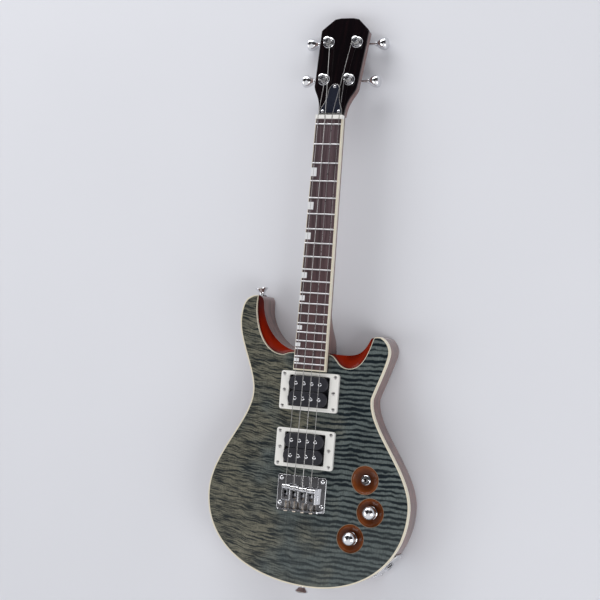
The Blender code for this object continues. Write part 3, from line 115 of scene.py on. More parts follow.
TREBLE_SIDE = ((75.5, 181.4, 189, 2, 6), (66.1, 172.1, 236, 8, 16), (20.6, 158.6, 176, 30, 2))
OUTER = ((*BASS_TIP, 184, 2, 14), *SIDES)
RIM_OUTER = (*OUTER, (*TREBLE_TIP, 200, 2, 2))

# Outlines of the headstock, across and along its own face
HEAD_SIDE = ((16.6, 1.0, 90, 2, 24), (27.6, 39.5, 88, 10, 24), (30.9, 112.0, 88, 20, 2))
HEAD_CORNERS = ((29.2, 114.4), (15.6, 127.4), (8.0, 129.0))
COVER_SIDE = ((15.0, 1.6, 95, 2, 8), (9.4, 18.0, 105, 5, 6), (7.6, 30.0, 92, 6, 5), (0.0, 40.6, 180, 5, 2))

# The room left between two pieces, and how near a point counts as at a height
GAP, TOUCH = mm(0.3, 0.1)

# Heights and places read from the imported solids
CAP_BOTTOM, FACE = (corner.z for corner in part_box("top_plate"))
CAP_SEAT = CAP_BOTTOM - GAP
BOARD_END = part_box("fingerboard_binding")[0].y
BOARD_HALF_AT_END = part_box("fingerboard_binding")[1].x
BOARD_BOTTOM, BOARD_TOP = (corner.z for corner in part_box("fingerboard_binding"))
FRET_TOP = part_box("fingerboard")[1].z
NUT_FRONT, NUT_BACK = (corner.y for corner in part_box("nut"))
NUT_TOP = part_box("nut")[1].z
BOARD_HALF_AT_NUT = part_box("nut")[1].x
NECK_TOP = BOARD_BOTTOM - GAP
PLATE_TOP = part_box("saddle_1")[0].z - GAP
SADDLE_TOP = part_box("saddle_1")[1].z
PICKUPS = {
    place: sum(corner.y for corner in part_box(f"{place}_pickup_ring")) / 2
    for place in ("neck", "bridge")
}
CONTROLS = tuple(pivot(joint).xy for joint in ("switch_throw", "volume_turn", "tone_turn"))

# Sizes that more than one piece keeps to
SCALE_LENGTH = 432.0 * MM
FRETS = 19
STRINGS = ("g", "c", "e", "a")
STRING_RADII = mm(0.30, 0.45, 0.36, 0.28)
GAP_AT_NUT, GAP_AT_SADDLE, GAP_AT_POLES = mm(9.05, 10.85, 10.25)
STRING_HOLE_Y, STRING_HOLE_RADIUS = mm(-9.5, 1.9)
SADDLE_SLOT = 4.9 * MM
HEIGHT_SCREW_X = 31.6 * MM
SCREW_BORE = 1.6 * MM
BODY_END = 158.6 * MM
POCKET_HALF, POCKET_FLOOR = mm(20.6, 14.7)
TENON_HALF = POCKET_HALF - GAP
SHAFT_HOLE = 4.3 * MM
BACK_COVER_RADIUS = 20.7 * MM
JACK_BORE = 11.0 * MM
JACK_PLATE_HALF = mm(20.0, 13.0)
POST_RADIUS = 3.2 * MM
WINDINGS, WINDING_GAP = 3, 0.5 * MM

# The headstock's own frame: across, along its face, and square out of it
HEAD_UP = Vector(JOINTS["tuner_post_g_turn"]["axis"]).normalized()
HEAD_ALONG = Vector((0, HEAD_UP.z, -HEAD_UP.y))
POST_G = pivot("tuner_post_g_turn")
HEAD_ORIGIN = POST_G - HEAD_ALONG * ((POST_G.y - NUT_BACK) / HEAD_ALONG.y)
HEAD_FRAME = Matrix((
    (1, 0, 0, 0),
    (0, HEAD_ALONG.y, HEAD_UP.y, HEAD_ORIGIN.y),
    (0, HEAD_ALONG.z, HEAD_UP.z, HEAD_ORIGIN.z),
    (0, 0, 0, 1),
))
HEAD_THICK = 11.0 * MM
VENEER = 2.0 * MM
ROD_ROOM_HALF, ROD_ROOM_LENGTH = mm(3.3, 31.0)
POST_HOLE = 5.1 * MM

# A tuner's heights from the headstock's face, and how far its worm lies from its post
CASE_TOP = -(HEAD_THICK + GAP)
CASE_BOTTOM = CASE_TOP - 6.8 * MM
WORM_HEIGHT = CASE_TOP - 3.4 * MM
WORM_SIDE = 5.0 * MM
BUSHING_TOP = GAP + 1.3 * MM

# Turns that lay a drawn shape on its side: as (x, -z) standing, and as (y, z) across
UPRIGHT = Matrix.Rotation(math.pi / 2, 4, "X")
SIDEWAYS = Matrix(((0, 0, 1, 0), (1, 0, 0, 0), (0, 1, 0, 0), (0, 0, 0, 1)))

# The camera stands where the photograph was taken from
CAMERA_PLACE = (0.63814, 0.15110, 1.57867)
CAMERA_TURN = (4.3137, 22.9688, 4.9863)
CAMERA_LENS = 83.69
CAMERA_SENSOR = 36.0
STUDIO_MIDDLE = (0.0, 0.15, 0.0)


def length(name, description, millimetres):
    """A size that can be changed in the panel."""
    return FloatProperty(name=name, description=description, default=millimetres * MM, unit="LENGTH")


def colour(name, description, default):
    """A colour that can be changed in the panel."""
    return FloatVectorProperty(
        name=name, description=description, default=default, size=3, min=0, max=1, subtype="COLOR")


class UkuleleSizes(bpy.types.PropertyGroup):
    """Sizes of the fine work that a maker might change."""

    rim_width: length("Rim width", "Width of the cream strip round the cap", 1.6)
    scoop_rim_width: length("Scoop rim width", "Width of the strip along the cutaways", 0.6)
    dish_radius: length("Dish radius", "Radius of the three recesses in the face", 16.7)
    dish_depth: length("Dish depth", "Depth of the three recesses", 5.1)
    fret_width: length("Fret width", "Width of a fret's crown", 1.8)
    inlay_length: length("Inlay length", "Length of a block inlay across the board", 6.8)
    inlay_share: FloatProperty(
        name="Inlay share", description="Share of the space between two frets that a block fills",
        default=0.48, min=0.1, max=0.9)
    edge_round: length("Edge round", "Rounding of the edges of the bridge and jack plates", 0.45)
    screw_radius: length("Screw radius", "Radius of the small screws' heads", 2.1)
    knob_radius: length("Knob radius", "Radius of the two domed knobs", 8.3)
    round_steps: IntProperty(
        name="Round steps", description="Faces round a large turned piece", default=64, min=16, max=128)


class UkuleleColours(bpy.types.PropertyGroup):
    """Colours of the finishes."""

    flame_dark: colour("Flame dark", "Dark stripes of the figured cap", (0.006, 0.011, 0.015))
    flame_light: colour("Flame light", "Light stripes towards the treble side", (0.109, 0.131, 0.128))
    flame_warm: colour("Flame warm", "Light stripes towards the bass side", (0.148, 0.143, 0.108))
    mahogany: colour("Mahogany", "Sides, back and neck", (0.170, 0.078, 0.064))
    mahogany_dark: colour("Mahogany dark", "Dark grain of the mahogany", (0.075, 0.034, 0.030))
    # The scoop colours hold painted light: the bright one fills the hollow where painted light falls, and the
    # dark one the edges, partly a burst stain and partly painted shade.
    scoop: colour("Scoop", "Bright middle of the scooped cutaways", (0.20, 0.010, 0.001))
    scoop_dark: colour("Scoop dark", "Edges of the scooped cutaways", (0.045, 0.0015, 0.0008))
    dish: colour("Dish", "Bright part of the recesses", (0.21, 0.055, 0.012))
    dish_dark: colour("Dish dark", "Middle and rim of the recesses", (0.035, 0.008, 0.003))
    cream: colour("Cream", "Strips round the cap and the fingerboard", (0.76, 0.68, 0.50))
    ivory: colour("Ivory", "Pickup rings", (0.88, 0.87, 0.83))
    bone: colour("Bone", "The nut", (0.82, 0.81, 0.77))
    # The board colour is the fingerboard under painted sheen, as it shows towards the nut; rosewood darkens
    # it to a redder brown towards the body.
    board: colour("Board", "Fingerboard wood", (0.120, 0.078, 0.088))
    board_dark: colour("Board dark", "Dark grain of the fingerboard", (0.042, 0.023, 0.026))
    pearl: colour("Pearl", "Block inlays", (0.83, 0.83, 0.84))
    veneer: colour("Veneer", "Headstock face", (0.0032, 0.0020, 0.0028))
    navy: colour("Navy", "Truss rod cover", (0.008, 0.010, 0.020))
    coil: colour("Coil", "Pickup bobbins", (0.012, 0.012, 0.017))
    chrome: colour("Chrome", "Plated hardware and frets", (0.78, 0.78, 0.79))
    steel: colour("Steel", "Strings, springs, steel screws and inner metal", (0.50, 0.49, 0.48))
    bronze: colour("Bronze", "Intonation screws", (0.62, 0.54, 0.46))


def sizes():
    """The sizes set in the panel."""
    return bpy.context.scene.ukulele_sizes


class Value:
    """A number or colour that changes over a surface. Arithmetic on numbers adds Math nodes."""

    def __init__(self, paint, socket):
        self.paint = paint
        self.socket = socket

    def __add__(self, other):
        return self.paint.math("ADD", self, other)

    def __sub__(self, other):
        return self.paint.math("SUBTRACT", self, other)

    def __rsub__(self, other):
        return self.paint.math("SUBTRACT", other, self)

    def __mul__(self, other):
        return self.paint.math("MULTIPLY", self, other)

    def __abs__(self):
        return self.paint.math("ABSOLUTE", self)

    __radd__ = __add__
    __rmul__ = __mul__


def opaque(color):
    """A plain colour with its alpha, or a value as it is."""
    return color if isinstance(color, Value) else (*color, 1)


class Paint:
    """The nodes of a material or of the world."""

    def __init__(self, owner):
        owner.use_nodes = True
        self.tree = owner.node_tree
        self.tree.nodes.clear()

    def add(self, kind, settings=None, inputs=None, output=0):
        """Adds a node of a type, with its settings first and then values or links for its sockets."""
        node = self.tree.nodes.new(kind)
        for name, value in (settings or {}).items():
            setattr(node, name, value)
        for name, value in (inputs or {}).items():
            if isinstance(value, Value):
                self.tree.links.new(value.socket, node.inputs[name])
            else:
                node.inputs[name].default_value = value
        return Value(self, node.outputs[output]) if len(node.outputs) else None

    def math(self, operation, *values):
        return self.add("ShaderNodeMath", {"operation": operation}, dict(enumerate(values)))

    def place(self):
        """Object coordinates, in metres."""
        return self.add("ShaderNodeTexCoord", output="Object")

    def split(self, vector):
        """The three numbers of a vector."""
        node = self.add("ShaderNodeSeparateXYZ", {}, {0: vector}).socket.node
        return [Value(self, output) for output in node.outputs]

    def vector(self, x, y, z):
        return self.add("ShaderNodeCombineXYZ", {}, {0: x, 1: y, 2: z})

    def mix(self, first, second, share, blend="MIX"):
        """One colour turning to another, or another blend of the two."""
        settings = {"data_type": "RGBA", "blend_type": blend}
        return self.add("ShaderNodeMix", settings, {0: share, 6: opaque(first), 7: opaque(second)}, output=2)

    def shade(self, color, amount):
        """A colour made darker or lighter by a number that changes over the surface."""
        grey = self.add("ShaderNodeCombineColor", {}, {0: amount, 1: amount, 2: amount})
        return self.mix(color, grey, 1.0, "MULTIPLY")

    def noise(self, at, scale, detail=2.0, roughness=0.5):
        inputs = {"Vector": at, "Scale": scale, "Detail": detail, "Roughness": roughness}
        return self.add("ShaderNodeTexNoise", {}, inputs)

    def grain(self, at, scales, detail=3.0, roughness=0.6):
        """Noise that is drawn out, by a scale of its own along each axis."""
        drawn = self.add("ShaderNodeVectorMath", {"operation": "MULTIPLY"}, {0: at, 1: scales})
        return self.noise(drawn, 1.0, detail, roughness)

    def step(self, value, low, high):
        """Turns smoothly from 0 at low to 1 at high."""
        inputs = {0: value, 1: low, 2: high}
        return self.add("ShaderNodeMapRange", {"interpolation_type": "SMOOTHSTEP"}, inputs)

    def bump(self, height, depth):
        return self.add("ShaderNodeBump", {}, {"Height": height, "Distance": depth, "Strength": 1.0})

    def surface(self, **inputs):
        """The Principled surface: socket names with underscores, and values or links."""
        sockets = {
            name.replace("_", " ").title().replace("Ior", "IOR"): value for name, value in inputs.items()}
        sockets["Base Color"] = opaque(sockets["Base Color"])
        shader = self.add("ShaderNodeBsdfPrincipled", {}, sockets)
        self.add("ShaderNodeOutputMaterial", {}, {"Surface": shader})


def finish(name):
    """The material of that name, made by the function of that name the first time it is asked for."""
    if name not in MADE:
        MADE[name] = bpy.data.materials.new(name)
        FINISHES[name](Paint(MADE[name]), bpy.context.scene.ukulele_colours)
    return MADE[name]


def figured_maple(paint, colours):
    """Dark stained maple under gloss: even stripes on the treble side, fine slanting ones on the bass."""
    at = paint.place()
    x, y = paint.split(at)[:2]
    stripe = 6.0 * MM
    patches = paint.noise(at, 20.0)
    bass = paint.step(x * -1.0 + (patches - 0.5) * 0.12, -0.035, 0.050)
    wander = (paint.noise(at, 24.0) - 0.5) * 0.010 + (paint.noise(at, 120.0, 1.0) - 0.5) * 0.0032
    breaks = paint.grain(at, (26.0, 160.0, 0.0), 2.0, 0.5)
    wave = paint.math("SINE", (y + wander) * (2 * math.pi / stripe))
    even = paint.step(wave * 0.25 + breaks * 1.2 - 0.10, 0.28, 0.70)
    calm = paint.step(y, 0.010, -0.080) * 0.34
    even = even * (1.0 - calm) + calm * 0.62
    slant = y + x * 0.14 + wander
    streaks = paint.noise(paint.vector(x * 48.0, slant * 520.0, 4.0), 1.0)
    slim = paint.step(streaks * 0.75 + breaks * 0.25, 0.39, 0.61)
    flame = even * (1.0 - bass) + (slim * 0.98 + 0.08) * bass
    lines = paint.grain(at, (560.0, 130.0, 0.0), 3.0, 0.7)
    specks = paint.noise(at, 760.0)
    warm = paint.step(patches * 1.4 - x * 4.0, 0.55, 1.05)
    light = paint.mix(colours.flame_light, colours.flame_warm, warm)
    seam = paint.step(abs(x), 0.0, 0.00025)
    depth = (lines * 1.2 + specks * 0.8) * (patches * 0.5 + 0.75) * (seam * 0.5 + 0.5)
    color = paint.shade(paint.mix(colours.flame_dark, light, flame), depth)
    paint.surface(
        base_color=color, roughness=0.30 + lines * 0.15, coat_weight=1.0, coat_roughness=0.03,
        specular_ior_level=0.1, normal=paint.bump(slim + lines * 0.3, 0.00002))


def mahogany(paint, colours):
    """Stained mahogany under gloss: long pores along the neck, seen faintly."""
    at = paint.place()
    x, y, z = paint.split(at)
    bend = (paint.noise(at, 9.0) - 0.5) * 0.02
    grain = paint.grain(paint.vector(x + bend, y, z), (230.0, 7.0, 230.0))
    pores = paint.grain(at, (1600.0, 60.0, 1600.0), 2.0)
    color = paint.mix(colours.mahogany_dark, colours.mahogany, paint.step(grain, 0.30, 0.62))
    paint.surface(
        base_color=paint.shade(color, 0.72 + pores * 0.55), roughness=0.36 + pores * 0.1, coat_weight=1.0,
        coat_roughness=0.05, normal=paint.bump(pores, 0.00003))


def scooped_wood(paint, colours):
    """The translucent crimson stain of the cutaways: brightest in the hollow with painted light, darker to
    its edges and its top, partly a burst stain and partly painted shade.
    """
    at = paint.place()
    y, z = paint.split(at)[1:]
    grain = paint.grain(at, (420.0, 30.0, 90.0))
    cloud = paint.noise(at, 38.0, 3.0) - 0.5
    # Painted light and shade over a burst stain: low darkens the top under the rim, edge darkens the side
    # edge and near_tip darkens the horn's tip; glow is brightest in the hollow, where painted light falls.
    low = paint.step(z + cloud * 0.004, FACE - 0.0015, FACE - 0.0058)
    edge = paint.step(z + cloud * 0.003, FACE - 0.0092, FACE - 0.0068)
    near_tip = paint.step(y, 0.215, 0.172)
    glow = low * (edge * 0.7 + 0.3) * (near_tip * 0.8 + 0.2) * (grain * 0.9 + 0.65)
    paint.surface(
        base_color=paint.mix(colours.scoop_dark, colours.scoop, glow), roughness=0.32 + grain * 0.1,
        coat_weight=0.12, coat_roughness=0.03, specular_ior_level=0.05, normal=paint.bump(grain, 0.00003))


def dished_wood(paint, colours):
    """The amber recesses: grain shows through the gloss, darker in the middle and at the rim, with a painted
    glint on the rounded lip.
    """
    at = paint.place()
    z = paint.split(at)[2]
    grain = paint.grain(at, (90.0, 520.0, 0.0))
    cloud = paint.noise(at, 60.0)
    bright = paint.step(z, FACE - 0.0052, FACE - 0.0025) * paint.step(z, FACE, FACE - 0.0016)
    glow = (bright * 0.75 + 0.25) * (grain * 0.8 + 0.5) * (cloud * 0.6 + 0.7)
    # Painted glint: the rounded lip is painted pale, as if it caught the light.
    painted_glint_edge = paint.step(z, FACE - 0.0009, FACE - 0.0002)
    color = paint.mix(paint.mix(colours.dish_dark, colours.dish, glow), (0.30, 0.22, 0.15), painted_glint_edge * 0.8)
    paint.surface(
        base_color=color, roughness=0.30 + grain * 0.1, coat_weight=0.30, coat_roughness=0.03,
        specular_ior_level=0.05, normal=paint.bump(grain, 0.00003))


def rosewood(paint, colours):
    """Open-grained dark wood with lengthwise streaks and short pores, and painted sheen that greys and
    lightens it towards the nut.
    """
    at = paint.place()
    x, y, z = paint.split(at)
    bend = (paint.noise(at, 18.0) - 0.5) * 0.006
    streaks = paint.grain(paint.vector(x + bend, y, z), (420.0, 9.0, 90.0))
    pores = paint.step(paint.grain(at, (2600.0, 160.0, 200.0), 2.0, 0.5), 0.60, 0.72)
    # Painted sheen: the board is greyer and lighter towards the nut, and turns to a darker, redder brown
    # towards the body, where no sheen is painted.
    without_painted_sheen = paint.step(y + (streaks - 0.5) * 0.1, 0.36, 0.20)
    light = paint.mix(colours.board, (0.100, 0.048, 0.048), without_painted_sheen * 0.85)
    color = paint.mix(colours.board_dark, light, paint.step(streaks, 0.30, 0.68))
    paint.surface(
        base_color=paint.shade(color, 1.0 - pores * 0.5), roughness=0.42 + pores * 0.25,
        normal=paint.bump(streaks * 0.4 - pores, 0.00006))


def cream_strip(paint, colours):
    """Plastic strip, slightly mottled and yellower in places."""
    at = paint.place()
    mottle = paint.noise(at, 120.0, 3.0)
    fine = paint.noise(at, 900.0)
    color = paint.shade(paint.mix(colours.cream, colours.bone, mottle * 0.5), 0.88 + fine * 0.2)
    paint.surface(
        base_color=color, roughness=0.28 + mottle * 0.12, coat_weight=0.5, coat_roughness=0.05,
        normal=paint.bump(fine, 0.00001))


def ivory_plastic(paint, colours):
    """Moulded ring plastic with a faint orange-peel gloss."""
    at = paint.place()
    mottle = paint.noise(at, 70.0)
    peel = paint.noise(at, 650.0)
    color = paint.shade(paint.mix(colours.ivory, colours.bone, mottle), 0.94 + mottle * 0.1)
    paint.surface(base_color=color, roughness=0.26 + mottle * 0.14, normal=paint.bump(peel, 0.000012))


def bone_white(paint, colours):
    """Polished bone with fine lengthwise lines."""
    lines = paint.grain(paint.place(), (120.0, 1600.0, 900.0))
    color = paint.shade(paint.mix(colours.bone, colours.ivory, lines), 0.9 + lines * 0.16)
    paint.surface(base_color=color, roughness=0.28 + lines * 0.2, normal=paint.bump(lines, 0.00001))


def pearl_block(paint, colours):
    """Shell: overlapping bands of cool and warm white with a silky gloss."""
    at = paint.place()
    x, y = paint.split(at)[:2]
    bend = paint.noise(at, 260.0)
    bands = paint.noise(paint.vector(x * 330.0 + bend * 3.0, y * 700.0, 0.0), 1.0, 3.0, 0.6)
    cool = paint.mix(colours.pearl, (0.60, 0.68, 0.70), paint.step(bands, 0.50, 0.72) * 0.7)
    color = paint.mix(cool, (0.86, 0.80, 0.78), paint.step(bands, 0.45, 0.25) * 0.5)
    paint.surface(base_color=color, roughness=0.16 + bands * 0.2, coat_weight=0.6, coat_roughness=0.04)


def black_veneer(paint, colours):
    """Near-black gloss over a veneer whose grain barely shows."""
    at = paint.place()
    grain = paint.grain(at, (260.0, 14.0, 0.0))
    peel = paint.noise(at, 90.0)
    color = paint.mix(colours.veneer, (0.009, 0.004, 0.005), paint.step(grain, 0.45, 0.75))
    paint.surface(
        base_color=color, roughness=0.30 + grain * 0.1, coat_weight=1.0, coat_roughness=0.02,
        specular_ior_level=0.0, normal=paint.bump(peel, 0.00001))


def navy_plastic(paint, colours):
    """Dark laminated plastic with a fine fleck."""
    at = paint.place()
    fleck = paint.step(paint.noise(at, 1900.0), 0.58, 0.72)
    cloud = paint.noise(at, 120.0)
    color = paint.mix(colours.navy, (0.05, 0.06, 0.085), fleck * 0.5 + cloud * 0.15)
    paint.surface(
        base_color=color, roughness=0.24 + cloud * 0.16, coat_weight=0.5, coat_roughness=0.04,
        specular_ior_level=0.1, normal=paint.bump(fleck, 0.00001))


def coil_black(paint, colours):
    """Black moulded plastic, faintly blue, with handling marks."""
    marks = paint.grain(paint.place(), (90.0, 420.0, 200.0))
    color = paint.mix(colours.coil, (0.03, 0.03, 0.04), marks * 0.6)
    paint.surface(base_color=color, roughness=0.26 + marks * 0.22, normal=paint.bump(marks, 0.00001))


def chrome(paint, colours):
    """Bright plating with faint smears and the softest ripple."""
    at = paint.place()
    smear = paint.noise(at, 170.0, 3.0)
    ripple = paint.noise(at, 60.0, 1.0)
    color = paint.shade(paint.mix(colours.chrome, (0.70, 0.71, 0.74), smear), 0.93 + smear * 0.12)
    roughness = 0.035 + paint.step(smear, 0.45, 0.8) * 0.09
    paint.surface(base_color=color, metallic=1.0, roughness=roughness, normal=paint.bump(ripple, 0.00006))


def metal(low_roughness, scratch_scale, tint):
    """A finish of drawn or brushed metal, its colour named in the palette."""
    def paint_metal(paint, colours):
        at = paint.place()
        lines = paint.grain(at, (scratch_scale, scratch_scale * 0.2, scratch_scale))
        dull = paint.noise(at, 240.0)
        paint.surface(
            base_color=paint.shade(getattr(colours, tint), 0.75 + lines * 0.3 + dull * 0.15), metallic=1.0,
            roughness=low_roughness + dull * 0.18, normal=paint.bump(lines, 0.00002))
    return paint_metal


def wound_wire(paint, colours):
    """A string wound with fine wire: ridges square to its run, with painted shade in the grooves between the
    turns.
    """
    at = paint.place()
    winding = 0.4 * MM
    turns = paint.math("SINE", paint.split(at)[1] * (2 * math.pi / winding))
    dull = paint.noise(at, 300.0)
    paint.surface(
        # Painted shade: the colour follows the winding and is darkest in the grooves between the turns.
        base_color=paint.shade(colours.steel, 0.62 + turns * 0.14 + dull * 0.3), metallic=1.0,
        roughness=0.24 + dull * 0.14, normal=paint.bump(turns, 0.00005))


def black_felt(paint, colours):
    """Matt black felt with short fibres."""
    fibres = paint.noise(paint.place(), 2200.0, 4.0, 0.7)
    color = paint.mix((0.008, 0.008, 0.009), (0.035, 0.034, 0.036), fibres)
    paint.surface(base_color=color, roughness=0.9, normal=paint.bump(fibres, 0.00025))


FINISHES = {
    "flamed_cap": figured_maple,
    "glossed_mahogany": mahogany,
    "scooped_wood": scooped_wood,
    "dished_wood": dished_wood,
    "board_wood_finish": rosewood,
    "cream_strip": cream_strip,
    "ivory_plastic": ivory_plastic,
    "polished_bone": bone_white,
    "pearl_block": pearl_block,
    "black_veneer": black_veneer,
    "navy_plastic": navy_plastic,
    "bobbin_black": coil_black,
    "bright_chrome": chrome,
    "drawn_steel": metal(0.20, 900.0, "steel"),
    "fret_metal": metal(0.24, 500.0, "chrome"),
    "bronzed_steel": metal(0.20, 900.0, "bronze"),
    "wound_wire": wound_wire,
    "black_felt": black_felt,
}
MADE = {}


def ground(bm):
    """Turns a closed shape's faces outwards."""
    bmesh.ops.recalc_face_normals(bm, faces=bm.faces)
    return bm


def placed(bm, matrix):
    """The shape itself, moved and turned."""
    bm.transform(matrix)
    return bm


def gather(shapes):
    """Joins several shapes in one mesh."""
    joined = bmesh.new()
    for shape in shapes:
        mesh = bpy.data.meshes.new("shape")
        shape.to_mesh(mesh)
        shape.free()
        joined.from_mesh(mesh)
        bpy.data.meshes.remove(mesh)
    return joined


def moved(shape, *frames):
    """Copies of a shape in several places, as one mesh."""
    copies = [placed(shape.copy(), matrix) for matrix in frames]
    shape.free()
    return gather(copies)


def block(low, high):
    """A box between two corners."""
    bm = bmesh.new()
    bmesh.ops.create_cube(bm, size=1.0)
    bmesh.ops.scale(bm, vec=Vector(high) - Vector(low), verts=bm.verts)
    bmesh.ops.translate(bm, vec=(Vector(high) + Vector(low)) / 2, verts=bm.verts)
    return bm


def rod(start, end, radius, sides=32):
    """A cylinder, or a prism with few sides, between two points."""
    start, end = Vector(start), Vector(end)
    axis = end - start
    bm = bmesh.new()
    bmesh.ops.create_cone(
        bm, cap_ends=True, segments=sides, radius1=radius, radius2=radius, depth=axis.length,
        matrix=along((start + end) / 2, axis))
    return bm


def lathe(profile, steps=None, frame=None, unit=1.0):
    """A turned shape: a profile of (radius, height) spun about Z."""
    steps = steps or sizes().round_steps
    bm = bmesh.new()
    verts = [bm.verts.new((radius * unit, 0, height * unit)) for radius, height in profile]
    edges = [bm.edges.new(pair) for pair in zip(verts, verts[1:])]
    bmesh.ops.spin(
        bm, geom=verts + edges, cent=(0, 0, 0), axis=(0, 0, 1), angle=2 * math.pi, steps=steps,
        use_merge=True)
    bmesh.ops.remove_doubles(bm, verts=bm.verts, dist=1e-6)
    return placed(ground(bm), frame or Matrix())


def slab(outline, low, high):
    """A flat shape: its outline, filled and extruded between two heights."""
    bm = bmesh.new()
    verts = [bm.verts.new((point[0], point[1], low)) for point in outline]
    edges = [bm.edges.new(pair) for pair in zip(verts, verts[1:] + verts[:1])]
    face = bmesh.ops.contextual_create(bm, geom=edges)["faces"]
    made = bmesh.ops.extrude_face_region(bm, geom=face)["geom"]
    top = [item for item in made if isinstance(item, bmesh.types.BMVert)]
    bmesh.ops.translate(bm, vec=(0, 0, high - low), verts=top)
    return ground(bm)


def plate(center, half, corner, low, high, segments=8):
    """A flat plate with rounded corners between two heights."""
    return slab(rounded_box(center, half, corner, segments), low, high)


def loft(rings):
    """A closed shape through rings of equally many points, with flat ends."""
    bm = bmesh.new()
    loops = []
    for ring in rings:
        verts = [bm.verts.new(point) for point in ring]
        loops.append([bm.edges.new((verts[i - 1], verts[i])) for i in range(len(verts))])
    for loop, following in zip(loops, loops[1:]):
        bmesh.ops.bridge_loops(bm, edges=loop + following)
    for loop in (loops[0], loops[-1]):
        bmesh.ops.contextual_create(bm, geom=loop)
    return ground(bm)


def above(height, axis=2):
    """Chooses the edges that lie at a height or over it."""
    return lambda edge: all(vert.co[axis] > height - TOUCH for vert in edge.verts)


def below(height):
    """Chooses the edges that lie at a height or under it."""
    return lambda edge: all(vert.co.z < height + TOUCH for vert in edge.verts)


def soften(bm, width, angle=60, segments=3, where=None):
    """Rounds the edges that are sharper than an angle, or the chosen ones among them."""
    bm.normal_update()
    edges = [
        edge for edge in bm.edges
        if len(edge.link_faces) == 2 and edge.calc_face_angle() > math.radians(angle)
        and (where is None or where(edge))]
    bmesh.ops.bevel(
        bm, geom=edges, offset=width, offset_type="OFFSET", affect="EDGES", segments=segments, profile=0.5,
        material=-1, clamp_overlap=True)
    return bm


def evaluated(obj):
    """A new mesh of an object with its modifiers applied."""
    return bpy.data.meshes.new_from_object(obj.evaluated_get(bpy.context.evaluated_depsgraph_get()))


def taken(obj):
    """An object's shape, to work on; the object is removed."""
    mesh = evaluated(obj)
    bpy.data.objects.remove(obj)
    bm = bmesh.new()
    bm.from_mesh(mesh)
    bpy.data.meshes.remove(mesh)
    return bm


def wire(points, radius, sides=10, smooth=False):
    """A round wire along points, closed at both ends."""
    curve = bpy.data.curves.new("wire", "CURVE")
    curve.dimensions = "3D"
    curve.bevel_depth = radius
    curve.bevel_resolution = sides // 2 - 2
    curve.use_fill_caps = True
    spline = curve.splines.new("BEZIER" if smooth else "POLY")
    if smooth:
        curve.resolution_u = 8
        spline.bezier_points.add(len(points) - 1)
        for knot, point in zip(spline.bezier_points, points):
            knot.co = point
            knot.handle_left_type = knot.handle_right_type = "AUTO"
    else:
        spline.points.add(len(points) - 1)
        for knot, point in zip(spline.points, points):
            knot.co = (*point, 1)
    obj = bpy.data.objects.new("wire", curve)
    bpy.context.scene.collection.objects.link(obj)
    bm = taken(obj)
    bpy.data.curves.remove(curve)
    bmesh.ops.remove_doubles(bm, verts=bm.verts, dist=1e-6)
    return ground(bm)


def solid(name, bm, finish_name=None, frame=None):
    """Makes a shape an object, not yet riding on anything."""
    if frame:
        bm.transform(frame)
    mesh = bpy.data.meshes.new(name)
    bm.to_mesh(mesh)
    bm.free()
    if finish_name:
        mesh.materials.append(finish(finish_name))
    obj = bpy.data.objects.new(name, mesh)
    bpy.context.scene.collection.objects.link(obj)
    return obj


def drills(low, high, radius, sides=32, centers=((0, 0),), frame=None):
    """Upright rods that bore a hole at each centre."""
    return [
        solid("drill", rod((*center, low), (*center, high), radius, sides), frame=frame)
        for center in centers]


def combine(obj, tools, operation="DIFFERENCE"):
    """Cuts shapes out of a piece, or joins them to it, and removes them."""
    for tool in tools:
        modifier = obj.modifiers.new(tool.name, "BOOLEAN")
        modifier.operation = operation
        modifier.object = tool
        modifier.solver = "EXACT"
        modifier.material_mode = "TRANSFER"
    mesh = evaluated(obj)
    obj.modifiers.clear()
    obj.data = mesh
    for tool in tools:
        bpy.data.objects.remove(tool)


def carved(shape, *tools):
    """A shape with others cut out of it."""
    obj = solid("shape", shape)
    combine(obj, [solid("tool", tool) for tool in tools])
    return taken(obj)


def seat(obj, body, nodes=(), angle=32):
    """Finishes a piece: smooth shading between its sharp edges, its body and what it stands for."""
    obj.data.shade_smooth()
    obj.data.set_sharp_from_angle(angle=math.radians(angle))
    normals = obj.modifiers.new("normals", "WEIGHTED_NORMAL")
    normals.keep_sharp = True
    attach(obj, body)
    if nodes:
        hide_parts(*nodes)


def piece(name, bm, finish_name, body, nodes=(), angle=32):
    """Makes a shape a finished piece."""
    seat(solid(name, bm, finish_name), body, nodes, angle)


def along(origin, direction):
    """A frame at a point with its Z axis along a direction."""
    return Matrix.Translation(origin) @ Vector(direction).to_track_quat("Z", "Y").to_matrix().to_4x4()


def heading(angle):
    """A flat vector of length one."""
    return Vector((math.cos(angle), math.sin(angle)))


def quarter(steps, start=1):
    """The sine and cosine of even steps through a quarter turn."""
    angles = (math.pi / 2 * step / steps for step in range(start, steps + 1))
    return [(math.sin(angle), math.cos(angle)) for angle in angles]


def stretch(first, second, samples):
    """Points of the curve from one knot to the next."""
    start, end = Vector((*first[:2], 0)), Vector((*second[:2], 0))
    leaving = heading(math.radians(first[2])).to_3d() * first[4]
    arriving = heading(math.radians(second[2])).to_3d() * second[3]
    points = interpolate_bezier(start, start + leaving, end - arriving, end, samples)
    return [point.xy * MM for point in points]


def lengths_along(points):
    """How far each point lies from the first, along them."""
    lengths = [0.0]
    for a, b in zip(points, points[1:]):
        lengths.append(lengths[-1] + (b - a).length)
    return lengths


def curve_points(knots, spacing=2.2 * MM):
    """Points along the knots, about evenly spaced."""
    points = []
    for first, second in zip(knots, knots[1:]):
        reach = lengths_along(stretch(first, second, 64))[-1]
        points += stretch(first, second, max(4, math.ceil(reach / spacing) + 1))[:-1]
    points.append(Vector(knots[-1][:2]) * MM)
    return points


